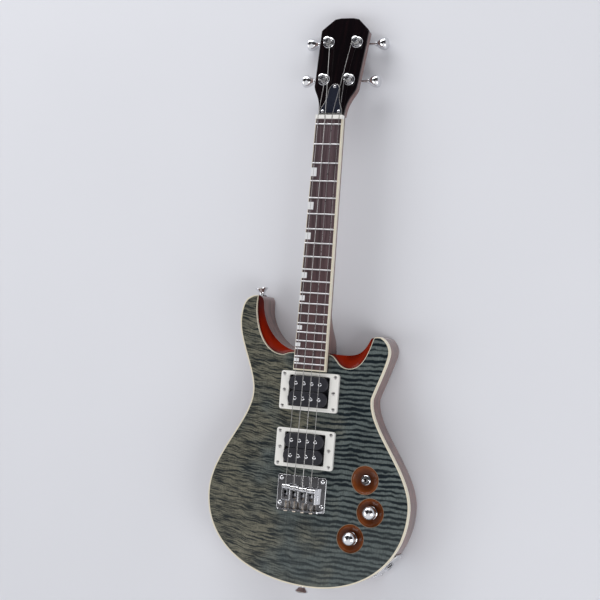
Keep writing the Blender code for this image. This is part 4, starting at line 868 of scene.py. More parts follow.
def even_points(knots, count):
    """A number of points evenly spaced along the knots."""
    fine = []
    for first, second in zip(knots, knots[1:]):
        fine += stretch(first, second, 96)
    lengths = lengths_along(fine)
    points, index = [], 0
    for step in range(count):
        wanted = lengths[-1] * step / (count - 1)
        while index < len(lengths) - 2 and lengths[index + 1] < wanted:
            index += 1
        span = lengths[index + 1] - lengths[index]
        points.append(fine[index].lerp(fine[index + 1], (wanted - lengths[index]) / span if span else 0.0))
    return points


def offset_path(path, distances):
    """An open path moved to its left by a distance at each point, mitred at its corners."""
    shifted = []
    for i, point in enumerate(path):
        before = (point - path[i - 1]).normalized() if i else None
        after = (path[i + 1] - point).normalized() if i < len(path) - 1 else None
        before, after = before or after, after or before
        left = Vector((-before.y, before.x)) + Vector((-after.y, after.x))
        shifted.append(point + left * distances[i] / (1.0 + before.dot(after)))
    return shifted


def distance_to(path, point):
    """How far a point lies from the nearest point of a path."""
    least = math.inf
    for a, b in zip(path, path[1:]):
        share = (point - a).dot(b - a) / (b - a).length_squared
        least = min(least, (point - a.lerp(b, min(1.0, max(0.0, share)))).length)
    return least


def inset(path, distances):
    """A path moved to its left, without the points that would cross over at a sharp corner."""
    kept_share = 0.97
    shifted = zip(offset_path(path, distances), distances)
    return [point for point, distance in shifted if distance_to(path, point) > kept_share * distance]


def rounded_box(center, half, corner, segments=8):
    """The outline of a box with rounded corners."""
    points = []
    for turn, (sx, sy) in enumerate(((1, 1), (-1, 1), (-1, -1), (1, -1))):
        middle = Vector((center[0] + sx * (half[0] - corner), center[1] + sy * (half[1] - corner)))
        for step in range(segments + 1):
            points.append(middle + heading(math.pi / 2 * (turn + step / segments)) * corner)
    return points


def mirrored(half, shared=0):
    """The right half of an outline and its mirror image; the last shared points lie on the middle line."""
    return half + [Vector((-point.x, point.y)) for point in reversed(half[:len(half) - shared])]


def string_x(index, gap):
    """How far a string lies from the middle line, where neighbours are a gap apart."""
    return (index - (len(STRINGS) - 1) / 2) * gap


def string_holes():
    """The centres of the holes that the strings pass through in the body."""
    return [(string_x(index, GAP_AT_SADDLE), STRING_HOLE_Y) for index in range(len(STRINGS))]


def board_half(y):
    """Half the width of the fingerboard."""
    share = (y - BOARD_END) / (NUT_BACK - BOARD_END)
    return BOARD_HALF_AT_END + (BOARD_HALF_AT_NUT - BOARD_HALF_AT_END) * share


def corners(x, y, height, middle=0.0):
    """Four places round a middle, such as those of a plate's screws."""
    return [(sx * x, middle + sy * y, height) for sx in (-1, 1) for sy in (-1, 1)]


def screw_head(radius, height, grip=0.62):
    """A domed screw head with a cross recess, standing on Z = 0."""
    dome = [(0, height)]
    dome += [(radius * across, height * (0.25 + 0.75 * up)) for across, up in quarter(6)]
    dome += [(radius, 0), (0, 0)]
    reach, half, floor = radius * grip, radius * 0.13, height * 0.25
    return carved(
        lathe(dome, 32),
        block((-reach, -half, floor), (reach, half, 2 * height)),
        block((-half, -reach, floor), (half, reach, 2 * height)))


def pole_piece(radius, rise):
    """A round-headed pole screw with a single slot."""
    slot, depth = mm(0.22, -1.0)
    profile = [(0, rise)]
    profile += [(radius * (0.55 + 0.45 * across), rise * (0.35 + 0.65 * up)) for across, up in quarter(6)]
    profile += [(radius, depth), (0, depth)]
    return carved(lathe(profile, 32), block((-2 * radius, -slot, rise * 0.4), (2 * radius, slot, 2 * rise)))


def screws(name, places, radius, height, frame=None, finish_name="bright_chrome"):
    """Screw heads in a row of places, each turned a little differently."""
    frames = []
    for number, point in enumerate(places):
        local = Matrix.Translation(point) @ Matrix.Rotation(0.5 + 1.1 * number, 4, "Z")
        frames.append(frame @ local if frame else local)
    piece(name, moved(screw_head(radius, height), *frames), finish_name, "instrument")


def rim_path():
    """The edge of the cap, from the neck's bass side round the body to its treble side."""
    bass, outer, treble = curve_points(BASS_RIM), curve_points(RIM_OUTER), curve_points(TREBLE_RIM)
    return bass[:-1] + outer + treble[1:], len(bass) - 1, len(bass) - 1 + len(outer)


def side_path():
    """The body's side, the same way round, and how much its back edge is rounded at each point."""
    bass, outer, treble = curve_points(BASS_SIDE), curve_points(OUTER), curve_points(TREBLE_SIDE)
    path = bass + outer + treble
    lengths = lengths_along(path)
    tips = lengths[len(bass) - 1], lengths[len(bass) + len(outer) - 1]
    full, small, taper, least = mm(12.0, 3.0, 45.0, 0.3)
    rounds = []
    for i, reach in enumerate(lengths):
        to_tip = min(abs(reach - tip) for tip in tips)
        share = min(1.0, to_tip / taper)
        wide = small + (full - small) * share * share * (3 - 2 * share)
        outside = len(bass) <= i < len(bass) + len(outer)
        rounds.append(min(wide if outside else small, least + 0.35 * to_tip))
    return path, rounds


def scoop_cutter(name, rim_knots, side_knots):
    """The hollow carved between the rim and the side of one cutaway, a shaped grid extruded upwards."""
    stations, spread = 60, 15
    start_drop, end_drop = mm(0.8, 3.0), mm(1.6, 8.5)
    inside, outside, past, fall, clear = mm(1.2, 8.0, 4.0, 1.0, 12.0)
    rims, sides = even_points(rim_knots, stations), even_points(side_knots, stations)
    bm = bmesh.new()
    bmesh.ops.create_grid(bm, x_segments=stations + 1, y_segments=spread, size=1.0)
    columns = sorted({round(vert.co.x, 5) for vert in bm.verts})
    rows = sorted({round(vert.co.y, 5) for vert in bm.verts})
    for vert in bm.verts:
        column, row = columns.index(round(vert.co.x, 5)), rows.index(round(vert.co.y, 5))
        station = min(stations - 1, max(0, column - 1))
        bell = math.sin(math.pi * station / (stations - 1)) ** 0.7
        start = FACE - start_drop[0] - (start_drop[1] - start_drop[0]) * bell
        end = FACE - end_drop[0] - (end_drop[1] - end_drop[0]) * bell
        rim, side = rims[station], sides[station]
        out = (side - rim).normalized()
        share = (row - 1) / (len(rows) - 3)
        if row == 0:
            place, height = rim - out * inside, start
        elif row == len(rows) - 1:
            place, height = side + out * outside, end - fall
        else:
            place, height = rim + (side - rim) * share, end + (start - end) * (1 - share) ** 1.7
        if column in (0, len(columns) - 1):
            square = Vector((-out.y, out.x))
            neighbor = rims[1] if column == 0 else rims[-2]
            if square.dot(rim - neighbor) < 0:
                square.negate()
            place = place + square * past
        vert.co = (place.x, place.y, height)
    made = bmesh.ops.extrude_face_region(bm, geom=bm.faces[:])["geom"]
    for vert in made:
        if isinstance(vert, bmesh.types.BMVert):
            vert.co.z = FACE + clear
    return solid(name, ground(bm), "scooped_wood")


def well_shapes(floors, high):
    """The room for each pickup: a deep middle, and a shallower slot where its two ears hang."""
    halves = mm(29.0, 20.6), mm(35.4, 6.0)
    return [
        solid("well", plate((0, y), half, 3.0 * MM, low, high, 4))
        for y in PICKUPS.values() for half, low in zip(halves, floors)]


def control_outline(radius):
    """A smooth outline round the three controls: the hull of a disc on each."""
    steps = 24
    middle = sum(CONTROLS, Vector((0, 0))) / len(CONTROLS)
    centers = sorted(CONTROLS, key=lambda c: math.atan2(c.y - middle.y, c.x - middle.x))
    points = []
    for i, center in enumerate(centers):
        run_in = (center - centers[i - 1]).normalized()
        run_out = (centers[(i + 1) % len(centers)] - center).normalized()
        start, sweep = math.atan2(-run_in.x, run_in.y), -run_in.angle_signed(run_out)
        points += [center + heading(start + sweep * step / steps) * radius for step in range(steps + 1)]
    return points


def make_body():
    """The mahogany block with its rounded back edge, scooped cutaways, wells, cavity and bores."""
    path, rounds = side_path()
    rings = []
    for across, up in quarter(6, start=0):
        ring = offset_path(path, [r * (1 - across) for r in rounds])
        rings.append([(p.x, p.y, r * (1 - up)) for p, r in zip(ring, rounds)])
    rings.append([(p.x, p.y, FACE - GAP) for p in path])
    body = solid("mahogany_body", loft(rings), "glossed_mahogany")

    rim, bass_count, treble_start = rim_path()
    spread = [6.0 * MM if bass_count < i < treble_start - 1 else GAP for i in range(len(rim))]
    cap_room = offset_path(rim, [-distance for distance in spread])
    over, under = FACE + 20.0 * MM, -6.0 * MM
    cavity_top, cover_ledge = CAP_SEAT - 3.3 * MM, 2.6 * MM
    pocket_end = BODY_END + 6.0 * MM
    ferrule_radius, ferrule_depth = mm(4.2, 6.0)
    washer_seat, screw_hole, screw_end, clear = mm(5.6, 2.5, -12.3, 8.0)
    jack = jack_frame()
    jack_x, jack_y = (half + GAP for half in JACK_PLATE_HALF)
    tools = [
        solid("cap_room", slab(cap_room, CAP_SEAT, over)),
        scoop_cutter("bass_scoop", BASS_RIM, BASS_SIDE),
        scoop_cutter("treble_scoop", TREBLE_RIM, TREBLE_SIDE),
        solid("pocket", block((-POCKET_HALF, BOARD_END, POCKET_FLOOR), (POCKET_HALF, pocket_end, over))),
        solid("cavity", slab(control_outline(17.0 * MM), under, cavity_top)),
        solid("ledge", slab(control_outline(BACK_COVER_RADIUS + GAP), under, cover_ledge)),
        *well_shapes(mm(16.0, 22.0), over),
        *drills(cavity_top - MM, over, SHAFT_HOLE, centers=CONTROLS),
    ]
    for hole in string_holes():
        tools += drills(under, over, STRING_HOLE_RADIUS, 20, [hole])
        tools += drills(under, ferrule_depth, ferrule_radius, 32, [hole])
    tools.append(solid("jack_seat", block((-jack_x, -jack_y, 0), (jack_x, jack_y, 9.0 * MM)), frame=jack))
    tools += drills(-24.0 * MM, 9.0 * MM, JACK_BORE, 48, frame=jack)
    for strap in strap_frames().values():
        tools += drills(0, clear, washer_seat, 48, frame=strap)
        tools += drills(screw_end, clear, screw_hole, 24, frame=strap)
    combine(body, tools)
    seat(body, "instrument", ["body"], angle=28)


def dish_shape(center):
    """What a recess takes out of the cap, with its rounded lip and the bore for a shaft."""
    radius, depth = sizes().dish_radius, sizes().dish_depth
    lip, over, under = mm(0.7, 2.0, -10.0)
    outside, reach = radius + lip * 0.6, radius - lip * 0.4
    profile = [(0, over), (outside, over), (outside, 0.02 * MM)]
    profile += [(outside - lip * across, -lip * (1 - up)) for across, up in quarter(5)]
    profile += [(reach * up ** 0.62, -lip - (depth - lip) * across) for across, up in quarter(16)[:14]]
    profile += [(SHAFT_HOLE, -depth), (SHAFT_HOLE, under), (0, under)]
    return lathe(profile, 96, Matrix.Translation((*center, FACE)))


def make_cap():
    """The flamed cap with its openings and dished recesses, and the cream strip round it."""
    rim, bass_count, treble_start = rim_path()
    narrow, wide = sizes().scoop_rim_width, sizes().rim_width
    widening, clear = 6, 0.05 * MM
    widths = []
    for index in range(len(rim)):
        past_tip = min(1.0, max(0.0, min(index - bass_count, treble_start - 1 - index) / widening))
        widths.append(narrow + (wide - narrow) * past_tip)
    inner = inset(rim, [width + clear for width in widths])
    inner[0].x, inner[-1].x = -POCKET_HALF, POCKET_HALF
    notch = [Vector((POCKET_HALF, BOARD_END)), Vector((-POCKET_HALF, BOARD_END))]
    cap = solid("flamed_cap", slab(inner + notch, CAP_BOTTOM, FACE), "flamed_cap")
    combine(cap, [
        *well_shapes([CAP_BOTTOM - MM] * 2, FACE + MM),
        solid("dishes", gather([dish_shape(center) for center in CONTROLS]), "dished_wood"),
        *drills(CAP_BOTTOM - 3.0 * MM, FACE + MM, STRING_HOLE_RADIUS, 20, string_holes()),
    ])
    seat(cap, "instrument", ["top_plate"], angle=25)
    band = rim + list(reversed(inset(rim, widths)))
    piece("cream_rim", slab(band, CAP_BOTTOM, FACE), "cream_strip", "instrument",
          ["body_binding"])


def neck_ring(half, top, depth, power, y, frame=None):
    """A flat-topped section with a rounded underside; a higher power is squarer."""
    steps = 28
    ring = []
    for step in range(steps + 1):
        angle = math.pi * step / steps
        x = half * math.copysign(abs(math.cos(angle)) ** (2 / power), math.cos(angle))
        point = Vector((x, y, top - depth * math.sin(angle) ** (2 / power)))
        ring.append(frame @ point if frame else point)
    return ring


def head_outline():
    """The headstock's outline, across and along its face."""
    return mirrored(curve_points(HEAD_SIDE) + [Vector(point) * MM for point in HEAD_CORNERS])


def post_center(letter):
    """A string post's place in the headstock's own frame."""
    return HEAD_FRAME.inverted() @ pivot(f"tuner_post_{letter}_turn")


def head_tools(low, high, rod_start, rod_floor):
    """The room for the truss rod's nut and the holes for the tuners' sleeves."""
    rod_end = (ROD_ROOM_HALF, NUT_BACK + ROD_ROOM_LENGTH, 80.0 * MM)
    centers = [post_center(letter).xy for letter in STRINGS]
    return [
        solid("rod_room", block((-ROD_ROOM_HALF, rod_start, rod_floor), rod_end)),
        *drills(low, high, POST_HOLE, centers=centers, frame=HEAD_FRAME)]


def make_neck():
    """The neck with its heel and the headstock's core, in one piece, and the black veneer over it."""
    heel_back = BODY_END + GAP
    heel_depth, slim, at_nut, slim_start, slim_end = mm(36.5, 17.0, 14.5, 205.0, 443.0)
    fall_start, steps = heel_back + 7.0 * MM, 18
    square, rounded = 5.5, 2.2
    stations = [(heel_back, heel_depth, square)]
    for step in range(steps + 1):
        share = step / steps
        depth = slim + (heel_depth - slim) * (0.5 + 0.5 * math.cos(math.pi * share)) ** 1.2
        y = fall_start + (slim_start - fall_start) * share
        stations.append((y, depth, square + (rounded - square) * share))
    for y in mm(*range(230, 440, 30)):
        stations.append((y, slim + (at_nut - slim) * (y - slim_start) / (slim_end - slim_start), rounded))
    stations.append((NUT_BACK, at_nut, rounded))
    rings = [neck_ring(board_half(y), NECK_TOP, depth, power, y) for y, depth, power in stations]
    core_top = -(VENEER + GAP)
    under_head = (
        (6.0, 15.6, 13.5), (11.0, 15.4, 12.2), (16.0, 15.2, 10.8), (23.0, 14.6, 9.3), (30.0, 14.0, 8.0))
    for distance, half, depth in (mm(*ring) for ring in under_head):
        rings.append(neck_ring(half, core_top - 0.2 * MM, depth, 2.0, distance, HEAD_FRAME))
    neck = solid("neck_and_head", loft(rings), "glossed_mahogany")
    core = soften(slab(head_outline(), -HEAD_THICK, core_top), 1.2 * MM, 60, 4, below(-HEAD_THICK))
    tenon_low = (-TENON_HALF, BOARD_END + GAP, POCKET_FLOOR + GAP)
    tenon = block(tenon_low, (TENON_HALF, heel_back + 4.0 * MM, NECK_TOP))
    combine(neck, [solid("core", core, frame=HEAD_FRAME), solid("tenon", tenon)], "UNION")
    combine(neck, head_tools(-20.0 * MM, 5.0 * MM, 175.7 * MM, NECK_TOP - 12.0 * MM))
    seat(neck, "instrument", ["neck"], angle=40)

    veneer = soften(slab(head_outline(), -VENEER, 0.0), 0.5 * MM, where=above(0.0))
    face = solid("head_veneer", veneer, "black_veneer", HEAD_FRAME)
    combine(face, head_tools(-5.0 * MM, 5.0 * MM, NUT_BACK - 5.0 * MM, 20.0 * MM))
    seat(face, "instrument", ["headplate"])
    make_rod_cover()


def make_rod_cover():
    """The truss rod cover: a dark top layer on a silver one that shows as its outline, and three screws."""
    outline = mirrored(curve_points(COVER_SIDE, 1.2 * MM), shared=1)
    border, low, high = 0.8 * MM, GAP, GAP + 2.0 * MM
    seam = high - 0.5 * MM
    closed = outline + outline[:1]
    inner = inset(closed, [border] * len(closed))
    base = placed(soften(slab(outline, low, seam), 0.2 * MM, segments=2), HEAD_FRAME)
    piece("rod_cover_edge", base, "drawn_steel", "instrument", ["truss_rod_cover"])
    top = placed(soften(slab(inner, seam, high), 0.18 * MM, segments=2), HEAD_FRAME)
    piece("rod_cover", top, "navy_plastic", "instrument")
    places = [(*mm(x, y), high) for x, y in ((-10.4, 4.6), (10.4, 4.6), (0.0, 36.6))]
    screws("rod_cover_screws", places, 1.9 * MM, 0.9 * MM, HEAD_FRAME)


def make_fingerboard():
    """The board, its crowned frets, pearl blocks, cream strips and the nut."""
    strip, bass_strip, clear = mm(1.6, 0.8, 0.05)
    end = NUT_FRONT - GAP
    start = BOARD_END + strip + clear
    trim, bass_trim = strip + clear, bass_strip + clear
    board = slab([
        (-board_half(start) + bass_trim, start), (board_half(start) - trim, start),
        (board_half(end) - trim, end), (-board_half(end) + bass_trim, end)], BOARD_BOTTOM, BOARD_TOP)
    piece("board_wood", board, "board_wood_finish", "instrument", ["fingerboard"])

    fret_y = [SCALE_LENGTH * 2 ** (-number / 12) for number in range(FRETS + 1)]
    frets = [fret_wire(-board_half(y) + 0.2 * MM, board_half(y) - trim, y) for y in fret_y]
    piece("fret_wires", gather(frets), "fret_metal", "instrument", angle=40)

    blocks = []
    for number in (3, 5, 7, 10, 12, 15, 17, 19):
        space = fret_y[number - 1] - fret_y[number]
        y = (fret_y[number - 1] + fret_y[number]) / 2
        x = -board_half(y) + 0.15 * MM
        reach = sizes().inlay_length * (0.85 + 0.15 * space / (fret_y[9] - fret_y[10]))
        half = space * sizes().inlay_share / 2
        inlay = block((x, y - half, BOARD_TOP - 0.6 * MM), (x + reach, y + half, BOARD_TOP + clear))
        blocks.append(soften(inlay, 0.04 * MM, 30))
    piece("pearl_blocks", gather(blocks), "pearl_block", "instrument")

    inside = BOARD_END + strip
    outline = [
        (-board_half(BOARD_END), BOARD_END), (board_half(BOARD_END), BOARD_END), (board_half(end), end),
        (board_half(end) - strip, end), (board_half(inside) - strip, inside),
        (-board_half(inside) + bass_strip, inside), (-board_half(end) + bass_strip, end),
        (-board_half(end), end)]
    on_top = above(BOARD_TOP)

    def outer_edge(edge):
        return on_top(edge) and all(abs(vert.co.x) > board_half(vert.co.y) - TOUCH for vert in edge.verts)

    strips = soften(slab(outline, BOARD_BOTTOM, BOARD_TOP), 0.35 * MM, where=outer_edge)
    piece("board_strips", strips, "cream_strip", "instrument", ["fingerboard_binding"])
    make_nut()


def fret_wire(left, right, y):
    """One fret: a low crown with ends that slope in, its foot sunk in the board."""
    radius, foot, slope = sizes().fret_width / 2, -0.3 * MM, 0.7
    fret = rod((left, y, 0), (right, y, 0), radius, 24)
    bmesh.ops.scale(fret, vec=(1, 1, (FRET_TOP - BOARD_TOP) / radius), verts=fret.verts)
    for vert in fret.verts:
        if vert.co.z > 0:
            vert.co.x -= math.copysign(vert.co.z * slope, vert.co.x)
        else:
            vert.co.z = max(vert.co.z, foot)
    bmesh.ops.translate(fret, vec=(0, 0, BOARD_TOP), verts=fret.verts)
    return fret


def make_nut():
    """The bone nut with a round-bottomed slot for each string."""
    half, bevel, steps = board_half(NUT_BACK), 0.8 * MM, 8
    shoulder, floor = NUT_TOP - bevel, FRET_TOP + 0.05 * MM
    outline = [(-half, BOARD_BOTTOM), (half, BOARD_BOTTOM), (half, shoulder), (half - bevel, NUT_TOP)]
    for index in reversed(range(len(STRINGS))):
        x, radius = string_x(index, GAP_AT_NUT), STRING_RADII[index] + 0.2 * MM
        outline.append((x + radius * 1.3, NUT_TOP))
        for step in range(steps + 1):
            across = heading(math.pi * step / steps) * radius
            outline.append((x + across.x, floor + radius - across.y))
        outline.append((x - radius * 1.3, NUT_TOP))
    outline += [(-half + bevel, NUT_TOP), (-half, shoulder)]
    nut = soften(slab(outline, -NUT_BACK, -NUT_FRONT), 0.12 * MM, 40, 2)
    piece("bone_nut", placed(nut, UPRIGHT), "polished_bone", "instrument", ["nut"])


def make_pickup_ring(place, y):
    """A pickup's ring with its corner screws and the two height screws."""
    bottom, top = FACE + GAP, FACE + GAP + 4.0 * MM
    ring = plate((0, y), mm(37.2, 23.0), 3.0 * MM, bottom, top)
    ring = solid(f"{place}_ring", soften(ring, 0.9 * MM, 60, 4, above(top)), "ivory_plastic")
    window = plate((0, y), mm(26.0, 18.6), 1.5 * MM, bottom - MM, top + MM, 5)
    centers = [(side * HEIGHT_SCREW_X, y) for side in (-1, 1)]
    combine(ring, [solid("window", window), *drills(bottom - MM, top + MM, 1.7 * MM, 24, centers)])
    seat(ring, "instrument", [f"{place}_pickup_ring"])
    places = corners(32.8 * MM, 19.0 * MM, top, y)
    screws(f"{place}_ring_screws", places, sizes().screw_radius, 0.75 * MM, None, "drawn_steel")
    shanks = [rod((*center, top - 17.0 * MM), (*center, top), 1.25 * MM, 20) for center in centers]
    heads = moved(screw_head(2.2 * MM, 0.9 * MM), *(
        Matrix.Translation((side * HEIGHT_SCREW_X, y, top)) @ Matrix.Rotation(0.4 + side, 4, "Z")
        for side in (-1, 1)))
    piece(f"{place}_height_screws", gather([heads, *shanks]), "drawn_steel", "instrument")


def make_pickup(place, y):
    """A pickup: its ring and screws, two round-ended bobbins with flanges, and eight slotted poles."""
    make_pickup_ring(place, y)
    body = f"{place}_pickup"
    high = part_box(f"{body}_coils")[1].z - 1.2 * MM
    half, width, row = mm(25.2, 8.6, 9.1)
    bobbins, frames = [], []
    for side in (-1, 1):
        middle = (0, y + side * row)
        flange = plate(middle, (half, width), width - 0.2 * MM, high - 2.0 * MM, high, 14)
        wound = (half - 0.9 * MM, width - 0.9 * MM)
        bobbins += [
            soften(flange, 0.5 * MM, where=above(high)),
            plate(middle, wound, width - 1.2 * MM, high - 9.0 * MM, high - 1.9 * MM, 14),
            plate(middle, (half, width), width - 0.2 * MM, high - 10.0 * MM, high - 8.9 * MM, 14)]
        for index in range(len(STRINGS)):
            pole = Matrix.Translation((string_x(index, GAP_AT_POLES), y + side * row, high))
            frames.append(pole @ Matrix.Rotation(0.5 * index + 0.3 * side, 4, "Z"))
    reach, deep = half - 2.0 * MM, row + width - 0.6 * MM
    bobbins.append(block((-reach, y - deep, high - 13.0 * MM), (reach, y + deep, high - 9.9 * MM)))
    piece(f"{place}_bobbins", gather(bobbins), "bobbin_black", body, [f"{body}_coils"])
    piece(f"{place}_poles", moved(pole_piece(2.3 * MM, 1.2 * MM), *frames), "bright_chrome", body)


def make_bridge():
    """The bridge plate with its rear wall, and on it a saddle, screw and spring for each string."""
    front, back, wall_back, wall_thick = mm(11.2, -30.3, -30.0, 2.0)
    low, wall_top = FACE + GAP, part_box("bridge_plate")[1].z
    half = (31.0 * MM, (front - back) / 2)
    base = plate((0, (front + back) / 2), half, 1.8 * MM, low, PLATE_TOP)
    base = solid("bridge_base", soften(base, sizes().edge_round, where=above(PLATE_TOP)), "bright_chrome")
    middle, half = (low + wall_top) / 2 + TOUCH, (26.0 * MM, (wall_top - low) / 2 - TOUCH)
    wall = plate((0, middle), half, 1.4 * MM, -wall_back - wall_thick, -wall_back)
    soften(wall, sizes().edge_round, where=above(low + MM + TOUCH, axis=1))
    combine(base, [solid("wall", wall, frame=UPRIGHT)], "UNION")
    bores = []
    for number, hole in enumerate(string_holes(), 1):
        screw = pivot(f"intonation_screw_{number}_turn")
        start, end = (screw.x, wall_back - MM, screw.z), (screw.x, wall_back + 3.0 * MM, screw.z)
        bores.append(solid("bore", rod(start, end, SCREW_BORE, 24)))
        bores += drills(low - MM, PLATE_TOP + MM, STRING_HOLE_RADIUS, 24, [hole])
    combine(base, bores)
    seat(base, "instrument", ["bridge_plate"])
    places = [(side * 26.6 * MM, y, PLATE_TOP) for side in (-1, 1) for y in mm(7.0, -22.6)]
    screws("bridge_screws", places, 2.6 * MM, 1.5 * MM)
    for number in range(1, len(STRINGS) + 1):
        make_saddle(number)


def make_saddle(number):
    """A saddle with its slot, height screws, intonation screw and spring."""
    low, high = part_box(f"saddle_{number}")
    x, front, back = (low.x + high.x) / 2, high.y, low.y
    half, top, floor = (high.x - low.x) / 2, high.z, low.z
    crest = front - 2.6 * MM
    slot_front, slot_back = front - SADDLE_SLOT, front - 15.6 * MM
    profile = [
        (back, floor), (front, floor), (front, top - 2.1 * MM), (front - 0.5 * MM, top - 1.0 * MM),
        (front - 1.4 * MM, top - 0.25 * MM), (crest, top), (crest - 1.0 * MM, top - 0.15 * MM),
        (crest - 2.0 * MM, top - 0.8 * MM), (slot_front, top - 1.1 * MM), (back + 0.8 * MM, top - 1.1 * MM),
        (back, top - 1.9 * MM)]
    casting = soften(placed(slab(profile, x - half, x + half), SIDEWAYS), 0.35 * MM, 50)
    casting = solid(f"saddle_casting_{number}", casting, "bright_chrome")
    axis = pivot(f"intonation_screw_{number}_turn").z
    slot_half = (2.3 * MM, (slot_front - slot_back) / 2)
    slot = plate((x, (slot_front + slot_back) / 2), slot_half, 1.9 * MM, floor - MM, top + MM)
    groove = top - 0.02 * MM
    screw_places = [(x + side * 3.2 * MM, crest) for side in (-1, 1)]
    combine(casting, [
        solid("slot", slot),
        solid("bore", rod((x, back - MM, axis), (x, slot_back + 1.5 * MM, axis), SCREW_BORE, 24)),
        solid("groove", rod((x, front + MM, groove), (x, slot_front - MM, groove), 0.5 * MM, 16)),
        *drills(top - 6.0 * MM, top + MM, 1.15 * MM, 24, screw_places),
    ])
    body = f"saddle_block_{number}"
    seat(casting, body, [f"saddle_{number}"])
    grub = lathe([(0, -0.35), (0.8, -0.35), (1.08, -0.6), (1.08, -5.0), (0, -5.0)], 24, unit=MM)
    grub = carved(grub, rod((0, 0, -1.6 * MM), (0, 0, MM), 0.6 * MM, 6))
    frames = [Matrix.Translation((*place, top)) for place in screw_places]
    piece(f"height_screws_{number}", moved(grub, *frames), "drawn_steel", body)
    make_length_screw(number, x, axis)


def make_length_screw(number, x, axis):
    """An intonation screw, its thread cut as ridges, and the spring round it."""
    low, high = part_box(f"intonation_screw_{number}")
    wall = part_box("bridge_plate")[0].y + 0.3 * MM
    shoulder = wall - GAP
    head = moved(screw_head(2.4 * MM, shoulder - low.y), along((x, shoulder, axis), (0, -1, 0)))
    pitch, radius, crest, root, overlap = mm(0.5, 1.3, 0.15, 0.4, -0.1)
    reach = high.y - shoulder
    profile = [(0, overlap), (radius, overlap)]
    for turn in range(int(reach / pitch)):
        profile += [(radius, turn * pitch + crest), (radius - 0.25 * MM, turn * pitch + root)]
    profile += [(radius - 0.3 * MM, reach), (0, reach)]
    shank = lathe(profile, 20, along((x, shoulder, axis), (0, 1, 0)))
    piece(f"length_screw_{number}", gather([head, shank]), "bronzed_steel", f"screw_{number}",
          [f"intonation_screw_{number}"], angle=40)

    spring_low, spring_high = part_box(f"intonation_spring_{number}")
    gauge, coil = mm(0.3, 2.0)
    turns, per_turn = 5, 24
    start, end = spring_high.y - 2 * gauge, spring_low.y + 2 * gauge
    points = []
    for step in range(turns * per_turn + 1):
        round_axis = heading(2 * math.pi * step / per_turn) * coil
        y = start + (end - start) * step / (turns * per_turn)
        points.append(Vector((x + round_axis.x, y, axis + round_axis.y)))
    first, last = points[0].copy(), points[-1].copy()
    first.y, last.y = spring_high.y, spring_low.y
    spring = solid(f"length_spring_{number}", wire([first, *points, last], gauge, 8), "drawn_steel")
    spring.data.shade_smooth()
    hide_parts(f"intonation_spring_{number}")
    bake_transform(spring)


def winding_points(start, center, turn, radius, top):
    """Tangent from a point to the post, then down round it, in the headstock's frame."""
    per_turn = 36
    reach = POST_RADIUS + GAP + radius
    away = start.xy - center
    tangent = math.atan2(away.y, away.x) + turn * math.acos(reach / away.length)
    pitch = 2 * radius + WINDING_GAP
    points = []
    for step in range(WINDINGS * per_turn + 1):
        place = center + heading(tangent + turn * 2 * math.pi * step / per_turn) * reach
        points.append(Vector((place.x, place.y, top - pitch * step / per_turn)))
    return points


def make_string(index):
    """One string, from its post over the nut and zero fret to the saddle, and a bend behind the saddle."""
    letter, radius = STRINGS[index], STRING_RADII[index]
    finish_name = "wound_wire" if letter in "gc" else "drawn_steel"
    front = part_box(f"saddle_{index + 1}")[1].y
    low_x, high_x = string_x(index, GAP_AT_SADDLE), string_x(index, GAP_AT_NUT)
    on_fret = FRET_TOP + GAP + radius
    crest = Vector((low_x, front - 2.4 * MM, SADDLE_TOP + GAP + radius))
    zero = Vector((high_x, SCALE_LENGTH, on_fret))
    past_nut = Vector((high_x, NUT_BACK + 0.6 * MM, on_fret))
    center = post_center(letter).xy
    top = BUSHING_TOP + 1.6 * MM + WINDINGS * (2 * radius + WINDING_GAP) + radius
    wound = winding_points(HEAD_FRAME.inverted() @ past_nut, center, 1 if center.x < 0 else -1, radius, top)
    route = [crest, zero, past_nut, *(HEAD_FRAME @ point for point in wound)]
    piece(f"string_{letter}_run", wire(route, radius, 12), finish_name, "instrument",
          [f"string_{letter}"], angle=60)

    along_string = (zero - crest).normalized()
    slot = front - SADDLE_SLOT
    drop = [crest + along_string * distance for distance in mm(6.0, 0.8, -0.6)]
    drop.append(Vector((low_x, slot - 0.3 * MM, SADDLE_TOP + 0.1 * MM + radius)))
    drop.append(Vector((low_x, slot - 1.6 * MM, SADDLE_TOP - 1.6 * MM)))
    heights = (PLATE_TOP + 1.5 * MM, PLATE_TOP - 4.0 * MM, 0.5 * MM)
    drop += [Vector((low_x, STRING_HOLE_Y, height)) for height in heights]
    bend = solid(f"string_{letter}_bend", wire(drop, radius * 1.02, 12, smooth=True), finish_name)
    bend.data.shade_smooth()
    PLATE_TOP + 1.0 * MM
    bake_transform(bend)


